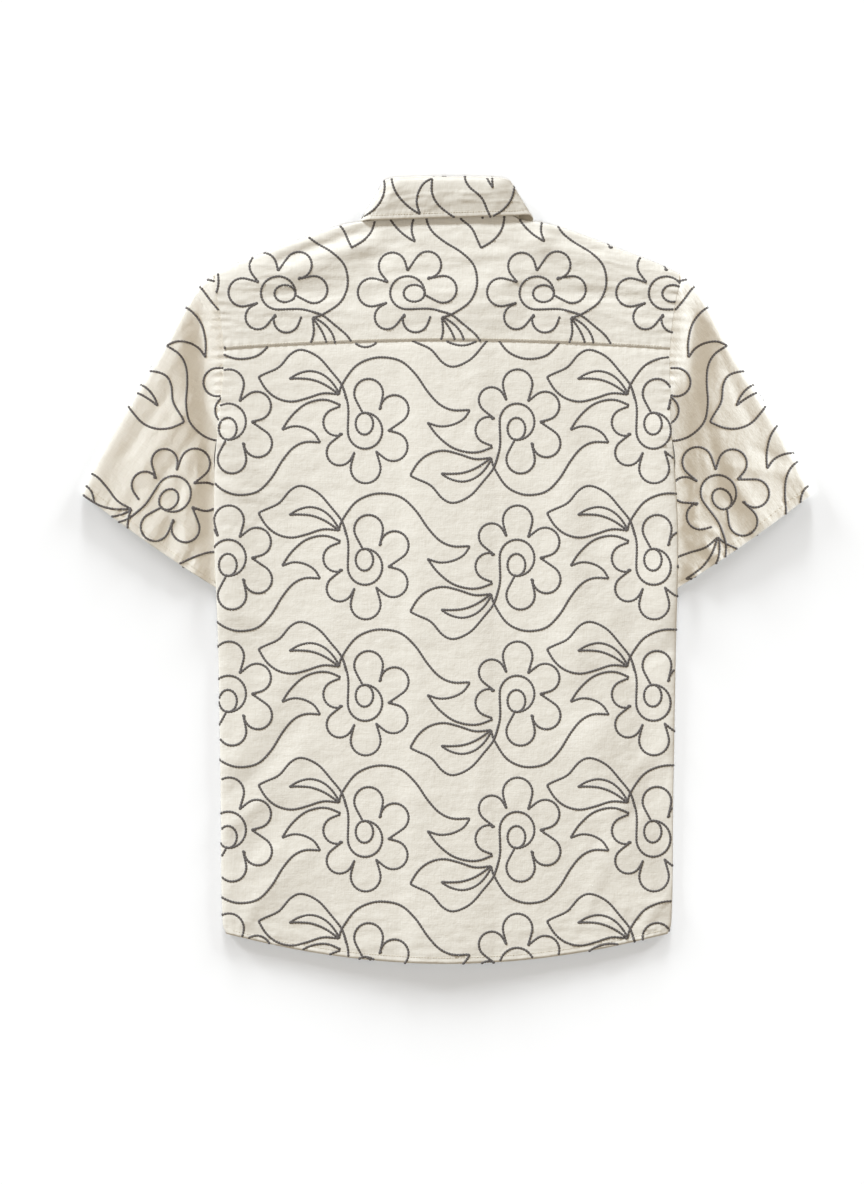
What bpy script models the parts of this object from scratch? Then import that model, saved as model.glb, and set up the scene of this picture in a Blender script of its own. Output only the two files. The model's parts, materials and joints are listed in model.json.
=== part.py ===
"""Short-sleeved embroidered shirt, laid flat on its front with its back up.

Sizes and tables are in millimetres and become metres where a mesh is made. In them x runs
across the shirt, y from the middle of the hem towards the collar, and z up from the surface
that the shirt lies on. The empty named shirt carries every piece and brings the middle of
the laid shirt to the world's origin.
"""

import math
from collections import namedtuple

import bmesh
import bpy
from mathutils import Vector

MM = 0.001

# Driving dimensions of the laid shirt
COLLAR_TOP = 824.0  # from the middle of the hem to the fold of the collar
CUFF_REACH = 384.0  # from the centre line to the outer corner of a cuff
HEM_RISE = 26.0  # how much higher the hem is at a side than in the middle
HEM_HALF = 216.0  # where it has risen that much
YOKE_SEAM = 653.0  # height of the yoke seam on the centre line
YOKE_DROP = 8.0  # and how much lower it is at the armholes
UNDERARM = 526.0
SHOULDER_TIP = 722.0
NECK_HALF = 75.0  # from the centre line to where the shoulder meets the collar

# Cloth thicknesses and the clear gaps between pieces
CLOTH = 1.0
LEAF_CLOTH = 1.4
STAND_CLOTH = 1.2
BAND_CLOTH = 1.2
LAYER_GAP = 0.3
SIDE_GAP = 0.4
SEAM_GAP = 0.6

# Heights of the laid layers
BUTTON_RADIUS = 5.7
BUTTON_THICKNESS = 2.2
BAND_HALF = 16.0
BAND_LOW = BUTTON_THICKNESS + LAYER_GAP
RIGHT_FRONT_LOW = BAND_LOW + BAND_CLOTH + LAYER_GAP
LEAF_LIFT = LEAF_CLOTH + LAYER_GAP
SLEEVE_LIFT = 2 * CLOTH + 2 * LAYER_GAP
BODY_LOFT = 2.0
ARMHOLE_LOFT = 3.4
SHOULDER_LOFT = 4.8
SIDE_ROLL = 11.0
SHOULDER_ROLL = 19.0
FOLD_EDGE = 252.5  # where the cap of a sleeve rolls down beside the body

Edge = namedtuple("Edge", "up left right")
EDGES = (  # from the centre line to the side seams and, above the underarm, the armhole seams
    Edge(26, 229, 229),
    Edge(42, 235, 235),
    Edge(170, 237, 237),
    Edge(340, 240, 240),
    Edge(449, 244, 242),
    Edge(UNDERARM, 243, 238),
    Edge(560, 240, 235),
    Edge(600, 236, 234),
    Edge(645, 234, 234),
    Edge(690, 239, 239),
    Edge(SHOULDER_TIP, 246, 246),
)

Slope = namedtuple("Slope", "out up")
SHOULDER = (  # the line over which the yoke rolls to the front
    Slope(NECK_HALF, 780),
    Slope(115, 773),
    Slope(150, 761),
    Slope(184, 748),
    Slope(218, 735),
    Slope(246, SHOULDER_TIP),
)
Run = namedtuple("Run", "along out up")
SLEEVE_OUTER = (  # the fold of the sleeve from the tip of the shoulder to the cuff
    Run(0.0, 247, 722),
    Run(0.08, 262, 709),
    Run(0.41, 306, 634),
    Run(0.775, 356, 549),
    Run(1.0, CUFF_REACH, 493),
)
CUFF_INNER = (233.0, 388.0)
CUFF_SAG = 3.0

Fold = namedtuple("Fold", "name x0 y0 x1 y1 width height")
BODY_FOLDS = (  # soft ridges, and troughs with a negative height, on the back and the yoke
    Fold("trough_right_top", 137, 640, 151, 546, 11, -1.6),
    Fold("trough_right", 152, 540, 153, 276, 11, -2.2),
    Fold("ridge_beside_trough", 128, 520, 130, 300, 15, 1.0),
    Fold("trough_right_hem", 153, 131, 194, 40, 12, -2.0),
    Fold("ridge_right_hem", 176, 158, 216, 66, 13, 1.4),
    Fold("hollow_right_sleeve", 214, 452, 226, 428, 14, -1.8),
    Fold("hollow_right_side", 226, 128, 232, 92, 12, -1.6),
    Fold("ridge_left_underarm", -228, 538, -178, 505, 19, 1.6),
    Fold("hollow_left_side", -208, 276, -172, 232, 15, -1.6),
    Fold("ridge_left_side", -216, 214, -158, 176, 15, 1.2),
    Fold("trough_left_hem", -172, 158, -216, 96, 13, -1.9),
    Fold("ridge_left_hem", -206, 62, -150, 112, 14, 1.2),
    Fold("ridge_left_middle", -104, 470, -122, 330, 20, 0.9),
    Fold("trough_middle", -20, 330, 12, 180, 22, -0.9),
    Fold("yoke_left_low", -196, 686, -92, 680, 9, 1.3),
    Fold("yoke_left_hollow", -186, 704, -104, 700, 8, -1.3),
    Fold("yoke_left_high", -150, 722, -58, 731, 9, 1.2),
    Fold("yoke_middle", -36, 700, 58, 706, 9, 1.1),
    Fold("yoke_middle_hollow", -44, 722, 40, 727, 9, -1.2),
    Fold("yoke_right_high", 70, 728, 160, 717, 9, 1.3),
    Fold("yoke_right_hollow", 82, 708, 176, 700, 8, -1.3),
    Fold("yoke_right_low", 96, 684, 204, 678, 9, 1.2),
)
SLEEVE_FOLDS = (  # the same on both sleeves, for a sleeve on the side where x is positive
    Fold("valley_inner", 262, 670, 272, 560, 13, -2.0),
    Fold("ridge_long", 282, 640, 326, 474, 15, 2.2),
    Fold("valley_long", 300, 604, 352, 492, 11, -1.9),
    Fold("ridge_outer", 318, 588, 366, 498, 9, 1.2),
    Fold("valley_cuff", 276, 500, 292, 438, 11, -1.8),
    Fold("ridge_cuff", 258, 520, 268, 424, 10, 1.5),
)

Ring = namedtuple(
    "Ring",
    "turn fold_x fold_y fold_z edge_x edge_y edge_z seam_x seam_y seam_z out_x out_z",
)
COLLAR_RING = (  # from the middle of the back, round one side, to the buttoned tab at the front
    Ring(0.00, 0, COLLAR_TOP, 7.9, 0, 784, 10.6, 0, 791.3, 8.0, 0, 1),
    Ring(0.18, 30, COLLAR_TOP, 7.9, 40, 784, 10.5, 32, 790.6, 7.9, 0, 1),
    Ring(0.33, 54, 823, 7.8, 72, 784, 10.0, 60, 787.4, 7.4, 0.1, 1),
    Ring(0.42, 63.5, 821, 6.9, 85, 784, 8.4, 72, 783.4, 6.2, 0.6, 0.8),
    Ring(0.48, 66, 818, 4.9, 89.5, 781.5, 5.0, 75.5, 781, 4.6, 1, 0),
    Ring(0.54, 64.5, 812, 2.8, 90, 778, 1.5, 75, 780.8, 3.3, 0.6, -0.8),
    Ring(0.60, 60, 801, 1.92, 88.5, 765, 0.78, 72.5, 773, 2.4, 0, -1),
    Ring(0.70, 47, 778, 1.92, 82, 735, 0.78, 61, 753, 2.3, 0, -1),
    Ring(0.84, 26, 745, 1.92, 71, 698, 0.78, 36, 719.5, 2.3, 0, -1),
    Ring(1.00, 5, 713, 2.0, 60, 668, 0.78, 8, 691, 3.1, 0, -1),
    Ring(1.10, -9, 708, 2.0, 60, 668, 0.78, -10, 692, 3.1, 0, -1),
)
NECKLINE_GAP = 1.3  # measured along y, and half as much across the slanting seam
BACK_NECK_GAP = 0.9
ROLL_RADIUS = 1.15  # of the collar's fold, at the middle of the cloth
LEAF_START = 3.0  # the leaf begins this far below the crest of the fold
TAB_LIFT = STAND_CLOTH + LAYER_GAP  # the right tab of the stand lies on the left one

BUTTON_HEIGHTS = (701, 640, 552, 464, 376, 288, 200)

CLOTH_COLOUR = (0.80, 0.76, 0.68, 1)
BUTTON_COLOUR = (0.83, 0.79, 0.70, 1)


def ramp(value, low, high):
    """0 below low, 1 above high, and a smooth rise between them."""
    t = min(max((value - low) / (high - low), 0.0), 1.0)
    return t * t * (3 - 2 * t)


def mix(a, b, share):
    return a + (b - a) * share


def arch(share):
    """Height of a quarter round: 0 at its rim, 1 from a share of 1 inwards."""
    inside = 1 - min(max(share, 0.0), 1.0)
    return math.sqrt(1 - inside * inside)


def read(rows, key, column, at):
    """A column of a table where its key column is at, on a smooth curve through the rows."""
    keys = [getattr(row, key) for row in rows]
    values = [getattr(row, column) for row in rows]
    at = min(max(at, keys[0]), keys[-1])
    first = max(i for i in range(len(keys) - 1) if keys[i] <= at)

    def slope(i):
        low, high = max(i - 1, 0), min(i + 1, len(keys) - 1)
        return (values[high] - values[low]) / (keys[high] - keys[low])

    span = keys[first + 1] - keys[first]
    t = (at - keys[first]) / span
    start = (2 * t**3 - 3 * t**2 + 1) * values[first]
    start += (t**3 - 2 * t**2 + t) * span * slope(first)
    end = (3 * t**2 - 2 * t**3) * values[first + 1]
    end += (t**3 - t**2) * span * slope(first + 1)
    return start + end


def seam_slopes(turns):
    """The seam between the collar stand and the body, as a table of its own."""
    return tuple(
        Slope(read(COLLAR_RING, "turn", "seam_x", turn), read(COLLAR_RING, "turn", "seam_y", turn))
        for turn in turns
    )


NECKLINE = seam_slopes([1 - 0.04 * step for step in range(12)])  # to the fronts
BACK_NECKLINE = seam_slopes([0.04 * step for step in range(12)])  # to the yoke


def crowded(share):
    """Brings the stations of a row from -1 to 1 closer together towards its ends."""
    return math.copysign(1 - (1 - abs(share)) ** 1.6, share)


def relief(folds, x, y):
    """Height that soft folds add at a point, each fading out round its own line."""
    total = 0.0
    for fold in folds:
        dx, dy = fold.x1 - fold.x0, fold.y1 - fold.y0
        t = ((x - fold.x0) * dx + (y - fold.y0) * dy) / (dx * dx + dy * dy)
        t = min(max(t, 0.0), 1.0)
        away = math.hypot(x - fold.x0 - t * dx, y - fold.y0 - t * dy)
        total += fold.height * math.exp(-((away / fold.width) ** 2))
    return total


def side_edge(x, y):
    return read(EDGES, "up", "right" if x > 0 else "left", y)


def hem_line(x):
    return HEM_RISE * (x / HEM_HALF) ** 2


def yoke_seam(x):
    return YOKE_SEAM - YOKE_DROP * (x / 225) ** 2


def shoulder_line(x):
    return read(SHOULDER, "out", "up", abs(x))


def neck_edge(x):
    """Top of a front below the collar stand, cut a little lower where it turns to the tabs."""
    return read(NECKLINE, "out", "up", x) - NECKLINE_GAP - 3.4 * math.exp(-(((x - 11) / 11) ** 2))


def lift_over_collar(x, y):
    """The fronts lie on the collar's front points."""
    leaf_out = 61 + (y - 668) * 0.32
    leaf_low = 668 + max(60 - abs(x), 0) * 0.73
    beside = 1 - ramp(abs(x), leaf_out + 6, leaf_out + 34)
    thicker = 0.2 + ramp(y, 730, 768)
    return (LEAF_LIFT + thicker) * beside * ramp(y, leaf_low - 56, leaf_low - 22)


def lift_over_sleeve(x, y, early=0):
    """The side of the body lies on the inner edge of the sleeve."""
    across = ramp(abs(x), 211, 229)
    along = ramp(y, 336 - early, 384 - early) * (1 - ramp(y, 538 + early, 572 + early))
    return SLEEVE_LIFT * across * along


def lift_over_buttons(x):
    return BAND_LOW * (1 - ramp(abs(x), BAND_HALF + 2, 62))


def lift_over_band(x):
    return RIGHT_FRONT_LOW * (1 - ramp(abs(x), BAND_HALF + 10, 80))


def body_height(x, y):
    """Middle of the cloth of the back and of the yoke."""
    lift = max(lift_over_band(x), lift_over_collar(x, y), lift_over_sleeve(x, y, 14))
    dome = 2.6 * (1 - ramp(abs(x), 15, 170)) * (1 - 0.5 * ramp(y, 715, 770))
    tab = 4.9 * (1 - ramp(abs(x), 40, 110)) * ramp(y, 640, 684) * (1 - 0.5 * ramp(y, 715, 770))
    extra = max(dome, tab, lift) - lift
    near_armhole = ramp(abs(x), 165, 226) * ramp(y, UNDERARM, UNDERARM + 44)
    near_shoulder = ramp(y, shoulder_line(x) - 62, shoulder_line(x) - 16) * ramp(abs(x), 74, 104)
    loft = mix(BODY_LOFT, ARMHOLE_LOFT, near_armhole)
    loft = mix(loft, SHOULDER_LOFT, near_shoulder)
    free_side = 1 - ramp(y, UNDERARM - 8, UNDERARM + 30)
    side = mix(1, arch((side_edge(x, y) - abs(x)) / SIDE_ROLL), free_side)
    top = mix(1, arch((shoulder_line(x) - y) / SHOULDER_ROLL), ramp(abs(x), 71, 88))
    puff = max(extra + loft + relief(BODY_FOLDS, x, y), 0.2)
    return 1.5 * CLOTH + SIDE_GAP + lift + side * top * puff


def back_surface(u, v):
    share = crowded(2 * u - 1)
    x = share * 236
    y = mix(hem_line(x), yoke_seam(x) - SEAM_GAP, v)
    x = share * side_edge(share, y)
    return x, y, body_height(x, y)


def yoke_surface(u, v):
    share = crowded(2 * u - 1)
    height = 1 - (1 - v) ** 1.5
    x = share * 240
    for _ in range(3):
        neck = read(BACK_NECKLINE, "out", "up", abs(x)) - BACK_NECK_GAP
        top = neck if abs(x) < NECK_HALF else shoulder_line(x)
        y = mix(yoke_seam(x), top, height)
        x = share * side_edge(share, y)
    return x, y, body_height(x, y)


def front_surface(side, u, v):
    """A front from its centre edge to its side; side is -1 for the wearer's left front.

    The left front laps under the right one, so that its buttonhole band faces out.
    """
    centre = BAND_HALF + 0.4 if side < 0 else 2 - BAND_HALF
    out = 1 - (1 - u) ** 1.3
    x = mix(centre, 236, out)
    for _ in range(3):
        top = shoulder_line(x) - 1.5
        if x < NECK_HALF:
            top = neck_edge(x)
        y = mix(hem_line(x) + 2, top, 1 - (1 - v) ** 1.25)
        x = mix(centre, side_edge(side, y), out)
    lift = lift_over_buttons(x) if side < 0 else lift_over_band(max(x, 0))
    lift = max(lift, lift_over_collar(x, y), lift_over_sleeve(x, y))
    return side * x, y, lift + CLOTH / 2


def sleeve_plan(side, along, across):
    """Point of the laid sleeve from above: along to the cuff, across from its fold to its seam."""

    def armhole(b):
        y = mix(SHOULDER_TIP, UNDERARM, b)
        return Vector((side_edge(side, y) + SEAM_GAP + 1.0 - ramp(y, UNDERARM + 10, UNDERARM + 50), y))

    def outer(a):
        return Vector((read(SLEEVE_OUTER, "along", "out", a), read(SLEEVE_OUTER, "along", "up", a)))

    def cuff(b):
        straight = outer(1).lerp(Vector(CUFF_INNER), b)
        return straight - Vector((0, CUFF_SAG * math.sin(math.pi * b)))

    inner = armhole(1).lerp(Vector(CUFF_INNER), along)
    ends = outer(along).lerp(inner, across) + armhole(across).lerp(cuff(across), along)
    corners = outer(0).lerp(armhole(1), across).lerp(outer(1).lerp(Vector(CUFF_INNER), across), along)
    return ends - corners


def sleeve_height(side, x, y, along):
    """Middle of the sleeve's upper layer, from the armhole seam's height down to the sleeve's own."""
    rest = 1.5 * CLOTH + LAYER_GAP
    out = x - side_edge(side, y)
    seam = mix(body_height(side * side_edge(side, y), y), rest, 1 - ramp(y, UNDERARM + 2, UNDERARM + 36))
    width = max(FOLD_EDGE - side_edge(side, y), 4) * ramp(y, UNDERARM - 20, UNDERARM + 30)
    cap = 1 - ramp(out, width - 5, width + 9)
    free = ramp(out, 2, 20)
    loft = mix(3.4, 2.0, ramp(along, 0.55, 1)) * ramp(out, 6, 70) + 0.5
    field = rest + free * max(loft + relief(SLEEVE_FOLDS, x, y), 0.2)
    return max(mix(field, seam, cap), rest)


def sleeve_surface(side, u, v):
    """One wall: upper layer from the underarm to the fold, round it, and the lower layer back."""
    along = v
    width = (sleeve_plan(side, along, 0) - sleeve_plan(side, along, 1)).length
    roll = mix(16, 8, ramp(along, 0, 0.3)) / width
    if u < 0.5:
        across = mix(1, roll, u / 0.5)
        plan = sleeve_plan(side, along, across)
        height = sleeve_height(side, plan.x, plan.y, along)
    elif u > 2 / 3:
        plan = sleeve_plan(side, along, mix(roll, 1, (u - 2 / 3) * 3))
        height = CLOTH / 2
    else:
        angle = math.pi / 2 - math.pi * (u - 0.5) * 6
        start = sleeve_plan(side, along, roll)
        top = sleeve_height(side, start.x, start.y, along)
        plan = sleeve_plan(side, along, roll * (1 - math.cos(angle)))
        height = mix(CLOTH / 2, top, (1 + math.sin(angle)) / 2)
    return side * plan.x, plan.y, height


def collar_lines(turn):
    """Crest, edge and seam of the collar at a turn round the neck, and the ways up and out there."""
    side = math.copysign(1, turn)
    at = {name: read(COLLAR_RING, "turn", name, abs(turn)) for name in Ring._fields[1:]}
    crest = Vector((at["fold_x"] * side, at["fold_y"], at["fold_z"]))
    edge = Vector((at["edge_x"] * side, at["edge_y"], at["edge_z"]))
    seam = Vector((at["seam_x"] * side, at["seam_y"], at["seam_z"]))
    up = (crest - seam).normalized()
    out = Vector((at["out_x"] * side, 0, at["out_z"])).normalized()
    return crest, edge, seam, up, out


def leaf_surface(u, v):
    """The collar leaf: up from the stand, over the fold, and down to its edge."""
    crest, edge, _, up, out = collar_lines(2 * u - 1)
    if v < 0.1:
        return crest - up * mix(LEAF_START, ROLL_RADIUS, v / 0.1) - out * ROLL_RADIUS
    if v <= 0.5:
        angle = math.pi * ((v - 0.1) / 0.4 - 0.5)
        return crest + (up * (math.cos(angle) - 1) + out * math.sin(angle)) * ROLL_RADIUS
    start = crest - up * ROLL_RADIUS + out * ROLL_RADIUS
    return start.lerp(edge, (v - 0.5) / 0.5)


def stand_surface(u, v):
    """The collar stand, from its seam up to the leaf, with its right tab on the left one."""
    turn = (2 * u - 1) * COLLAR_RING[-1].turn
    crest, _, seam, up, out = collar_lines(turn)
    bend = math.exp(-(((abs(turn) - 0.47) / 0.12) ** 2))
    top = crest - up * (LEAF_START + SEAM_GAP + 7.5 * bend) - out * ROLL_RADIUS
    tab = TAB_LIFT * ramp(turn, 0.86, 0.97)
    return seam.lerp(top, v) + Vector((0, 0, tab))


def band_surface(u, v):
    x = (2 * u - 1) * BAND_HALF
    top = neck_edge(-x)
    return x, mix(hem_line(x) + 2, top, v), BAND_LOW + BAND_CLOTH / 2


def material(name, colour, roughness):
    made = bpy.data.materials.new(name)
    made.use_nodes = True
    shader = made.node_tree.nodes["Principled BSDF"]
    shader.inputs["Base Color"].default_value = colour
    shader.inputs["Roughness"].default_value = roughness
    shader.inputs["Metallic"].default_value = 0.0
    return made


def add_object(name, mesh, finish, shirt):
    piece = bpy.data.objects.new(name, mesh)
    if not mesh.materials:
        mesh.materials.append(finish)
    piece.parent = shirt
    bpy.context.scene.collection.objects.link(piece)
    return piece


def sew(name, surface, columns, rows, thickness, finish, shirt):
    """A cloth wall: a grid laid on a surface and given its thickness about that surface."""
    grid = bmesh.new()
    bmesh.ops.create_grid(grid, x_segments=columns, y_segments=rows, size=0.5)
    for corner in grid.verts:
        point = surface(corner.co.x + 0.5, corner.co.y + 0.5)
        corner.co = Vector(point) * MM
    mesh = bpy.data.meshes.new(name)
    grid.to_mesh(mesh)
    grid.free()
    mesh.shade_smooth()
    piece = add_object(name, mesh, finish, shirt)
    wall = piece.modifiers.new("wall", "SOLIDIFY")
    wall.thickness = thickness * MM
    wall.offset = 0.0
    return piece


def button_mesh(sides=20, hole_sides=6, hole_radius=0.9, hole_spread=1.5):
    """A round button with four sewing holes, filled between its circles and then thickened."""
    disc = bmesh.new()
    bmesh.ops.create_circle(disc, segments=sides, radius=BUTTON_RADIUS * MM)
    for quarter in range(4):
        angle = math.pi / 4 + quarter * math.pi / 2
        centre = Vector((math.cos(angle), math.sin(angle), 0)) * hole_spread * math.sqrt(2) * MM
        made = bmesh.ops.create_circle(disc, segments=hole_sides, radius=hole_radius * MM)
        bmesh.ops.translate(disc, verts=made["verts"], vec=centre)
    bmesh.ops.triangle_fill(disc, use_beauty=True, edges=disc.edges[:], normal=(0, 0, 1))
    raised = bmesh.ops.extrude_face_region(disc, geom=disc.faces[:])
    corners = [item for item in raised["geom"] if isinstance(item, bmesh.types.BMVert)]
    bmesh.ops.translate(disc, verts=corners, vec=(0, 0, BUTTON_THICKNESS * MM))
    bmesh.ops.recalc_face_normals(disc, faces=disc.faces[:])
    mesh = bpy.data.meshes.new("button")
    disc.to_mesh(mesh)
    disc.free()
    return mesh


def main():
    for old in list(bpy.data.objects):
        bpy.data.objects.remove(old)
    shirt = bpy.data.objects.new("shirt", None)
    shirt.location = (0, -(COLLAR_TOP + LEAF_CLOTH / 2) / 2 * MM, 0)
    bpy.context.scene.collection.objects.link(shirt)
    linen = material("cream cotton", CLOTH_COLOUR, 0.9)
    shell = material("cream button", BUTTON_COLOUR, 0.35)

    sew("back_panel", back_surface, 28, 28, CLOTH, linen, shirt)
    sew("back_yoke", yoke_surface, 28, 9, CLOTH, linen, shirt)
    for side, name in ((-1, "left"), (1, "right")):
        sew(f"front_{name}", lambda u, v: front_surface(side, u, v), 17, 30, CLOTH, linen, shirt)
        sew(f"sleeve_{name}", lambda u, v: sleeve_surface(side, u, v), 24, 14, CLOTH, linen, shirt)
    sew("front_band", band_surface, 4, 10, BAND_CLOTH, linen, shirt)
    sew("collar_stand", stand_surface, 44, 3, STAND_CLOTH, linen, shirt)
    sew("collar_leaf", leaf_surface, 40, 10, LEAF_CLOTH, linen, shirt)
    mesh = button_mesh()
    for number, height in enumerate(BUTTON_HEIGHTS, 1):
        button = add_object(f"button_{number}", mesh, shell, shirt)
        button.location = (0, height * MM, 0)


main()
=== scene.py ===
"""Embroidered shirt, laid flat on its front: cloth shells, stitching, finishes and studio.

Sizes are in millimetres as on a cutting table: x across the shirt, y up from the middle of the
hem, z up from the surface that it lies on. They become metres where a mesh is made.
"""

from __future__ import annotations

import json
import logging
import math
from collections.abc import Callable, Iterable, Iterator
from dataclasses import dataclass, field
from enum import Enum
from functools import partial
from typing import Any, NamedTuple

import bmesh
import bpy
import numpy as np
from mathutils import Matrix, Vector, noise
from mathutils.bvhtree import BVHTree

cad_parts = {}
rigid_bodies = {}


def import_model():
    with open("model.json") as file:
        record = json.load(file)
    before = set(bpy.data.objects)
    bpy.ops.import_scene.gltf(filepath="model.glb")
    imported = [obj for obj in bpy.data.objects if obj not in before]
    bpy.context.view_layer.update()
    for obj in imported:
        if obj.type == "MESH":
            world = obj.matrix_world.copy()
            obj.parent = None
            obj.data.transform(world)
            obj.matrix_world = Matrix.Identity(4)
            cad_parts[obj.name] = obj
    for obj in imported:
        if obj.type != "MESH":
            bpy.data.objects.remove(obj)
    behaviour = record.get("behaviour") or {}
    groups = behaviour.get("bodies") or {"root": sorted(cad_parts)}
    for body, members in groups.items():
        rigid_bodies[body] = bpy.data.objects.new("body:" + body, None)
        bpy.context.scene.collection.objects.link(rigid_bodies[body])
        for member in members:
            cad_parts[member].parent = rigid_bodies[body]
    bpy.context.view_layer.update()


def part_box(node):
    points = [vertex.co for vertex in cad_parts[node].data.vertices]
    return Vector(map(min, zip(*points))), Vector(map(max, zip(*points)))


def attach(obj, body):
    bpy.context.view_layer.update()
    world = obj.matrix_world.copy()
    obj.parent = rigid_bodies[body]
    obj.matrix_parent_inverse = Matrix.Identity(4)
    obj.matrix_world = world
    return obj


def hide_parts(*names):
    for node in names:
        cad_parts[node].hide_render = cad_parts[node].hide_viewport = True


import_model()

MM = 0.001
BODY = "root"
CLOTH_MAP = "cloth"
HEM_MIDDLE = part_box("back_panel")[0][1]  # world y of the lowest point of the hem
HEM_FOLD = 6.5  # depth of the turned hem
CROWDING = 1.35  # how strongly a grid's rows crowd towards a rolled edge
RIDGE_SHARPNESS = 4.5  # how thin a wrinkle is within its spacing
FOLD_REACH = 2.6  # widths from its line up to which a fold still shows
EDGE_PASSES = 3  # a panel's width depends on the height and its height on the width
FINE_STEPS = 8  # points that a curve is read at between two that it passes through
SAME_PLACE = 1e-6  # points closer than this are one doubled point
RAY_HEIGHT = 60.0  # distance from which a stitch is dropped on its cloth
LEAST_FACING = 0.25  # cloth steeper than this takes no stitches
STITCH_RISE = 0.18  # height of a stitch's middle above its cloth

log = logging.getLogger("shirt")

Surface = Callable[[float, float], tuple[Vector, Vector]]
Path = list[Vector]
Points = tuple[tuple[float, float], ...]
Mark = tuple[Vector, Vector]


class Edge(NamedTuple):
    """How far the side or armhole seams are from the centre line at a height."""

    up: float
    left: float
    right: float


class Slope(NamedTuple):
    """A point of a line that is drawn on one half of the shirt."""

    out: float
    up: float


class Run(NamedTuple):
    """A point of the sleeve's outer fold, at its share of the way to the cuff."""

    along: float
    out: float
    up: float


class Fold(NamedTuple):
    """A soft ridge in the cloth, or a trough where its height is negative."""

    name: str
    x0: float
    y0: float
    x1: float
    y1: float
    width: float
    height: float


class Gathers(NamedTuple):
    """Small puckers along a row of stitches: how high, how far apart and how far from the row."""

    height: float
    pitch: float
    width: float
    seed: float


class Lie(NamedTuple):
    """How one sleeve lies: where it leaves the body's edge, and how full it is from there."""

    early: float
    span_low: float
    span_high: float
    full_top: float
    full_cuff: float


class Ring(NamedTuple):
    """A section of the collar: its crest, its edge, its seam and the way out of it."""

    turn: float
    fold_x: float
    fold_y: float
    fold_z: float
    edge_x: float
    edge_y: float
    edge_z: float
    seam_x: float
    seam_y: float
    seam_z: float
    out_x: float
    out_z: float


class Side(Enum):
    """The wearer's left and right, and the sign of x there."""

    LEFT = -1
    RIGHT = 1


def ramp(value: float, low: float, high: float) -> float:
    """Rises smoothly from 0 to 1.

    Args:
        value: Where to read the ramp.
        low: The value up to which it is 0.
        high: The value from which it is 1.

    Returns:
        A share from 0 to 1.
    """
    t = min(max((value - low) / (high - low), 0.0), 1.0)
    return t * t * (3 - 2 * t)


def mix(a: float, b: float, share: float) -> float:
    """Returns a where share is 0 and b where it is 1."""
    return a + (b - a) * share


def arch(share: float) -> float:
    """Returns the height of a quarter round, 0 at its rim and 1 from a share of 1 inwards."""
    inside = 1 - min(max(share, 0.0), 1.0)
    return math.sqrt(1 - inside * inside)


def bell(distance: float, width: float) -> float:
    """Returns 1 at no distance, fading out over about the width."""
    return math.exp(-((distance / width) ** 2))


def crowded(share: float) -> float:
    """Returns a station from -1 to 1 brought closer to the end that it is near."""
    return math.copysign(1 - (1 - abs(share)) ** CROWDING, share)


def wander(x: float, y: float, size: float, seed: float = 0.0) -> float:
    """Returns smooth unevenness from about -1 to 1 whose waves are about size long."""
    return noise.noise(Vector((x / size, y / size, seed)))


def wrinkle(along: float, across: float, seed: float) -> float:
    """Returns thin uneven ridges from 0 to 1, along where smooth noise passes through zero.

    Args:
        along: Place along the ridges, in ridge lengths.
        across: Place across them, in ridge spacings.
        seed: Makes one set differ from the next.

    Returns:
        The ridges' height.
    """
    return max(1 - RIDGE_SHARPNESS * abs(noise.noise(Vector((along, across, seed)))), 0.0)


def curve(start: Any, leaving: Any, end: Any, arriving: Any, t: float) -> Any:
    """Reads a smooth curve between two numbers or two points.

    Args:
        start: Where it starts.
        leaving: How fast it leaves there.
        end: Where it ends.
        arriving: How fast it arrives there.
        t: Share of the way.

    Returns:
        The number or point there.
    """
    first = start * (2 * t**3 - 3 * t**2 + 1) + leaving * (t**3 - 2 * t**2 + t)
    return first + end * (3 * t**2 - 2 * t**3) + arriving * (t**3 - t**2)


def read(rows: tuple[Any, ...], key: str, column: str, at: float) -> float:
    """Reads a column of a table on a smooth curve through its rows.

    Args:
        rows: The table, sorted by its key column.
        key: Name of the key column.
        column: Name of the column to read.
        at: Where in the key column.

    Returns:
        The column's value there.
    """
    keys = [getattr(row, key) for row in rows]
    values = [getattr(row, column) for row in rows]
    at = min(max(at, keys[0]), keys[-1])
    first = max(i for i in range(len(keys) - 1) if keys[i] <= at)

    def slope(i: int) -> float:
        """Returns the curve's slope at a row."""
        low, high = max(i - 1, 0), min(i + 1, len(keys) - 1)
        return (values[high] - values[low]) / (keys[high] - keys[low])

    span = keys[first + 1] - keys[first]
    leaving, arriving = span * slope(first), span * slope(first + 1)
    return curve(values[first], leaving, values[first + 1], arriving, (at - keys[first]) / span)


def relief(folds: Iterable[Fold], x: float, y: float) -> float:
    """Adds up soft folds at a point.

    Args:
        folds: The ridges and troughs.
        x: Distance across the shirt.
        y: Height above the hem.

    Returns:
        How far they raise the cloth.
    """
    total = 0.0
    for fold in folds:
        reach = FOLD_REACH * fold.width
        if not min(fold.x0, fold.x1) - reach < x < max(fold.x0, fold.x1) + reach:
            continue
        if not min(fold.y0, fold.y1) - reach < y < max(fold.y0, fold.y1) + reach:
            continue
        dx, dy = fold.x1 - fold.x0, fold.y1 - fold.y0
        t = ((x - fold.x0) * dx + (y - fold.y0) * dy) / (dx * dx + dy * dy)
        t = min(max(t, 0.0), 1.0)
        total += fold.height * bell(math.hypot(x - fold.x0 - t * dx, y - fold.y0 - t * dy), fold.width)
    return total


def polar(angle: float, reach: float) -> Vector:
    """Returns the point at an angle in degrees and a distance."""
    return Vector((math.cos(math.radians(angle)), math.sin(math.radians(angle)))) * reach


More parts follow.
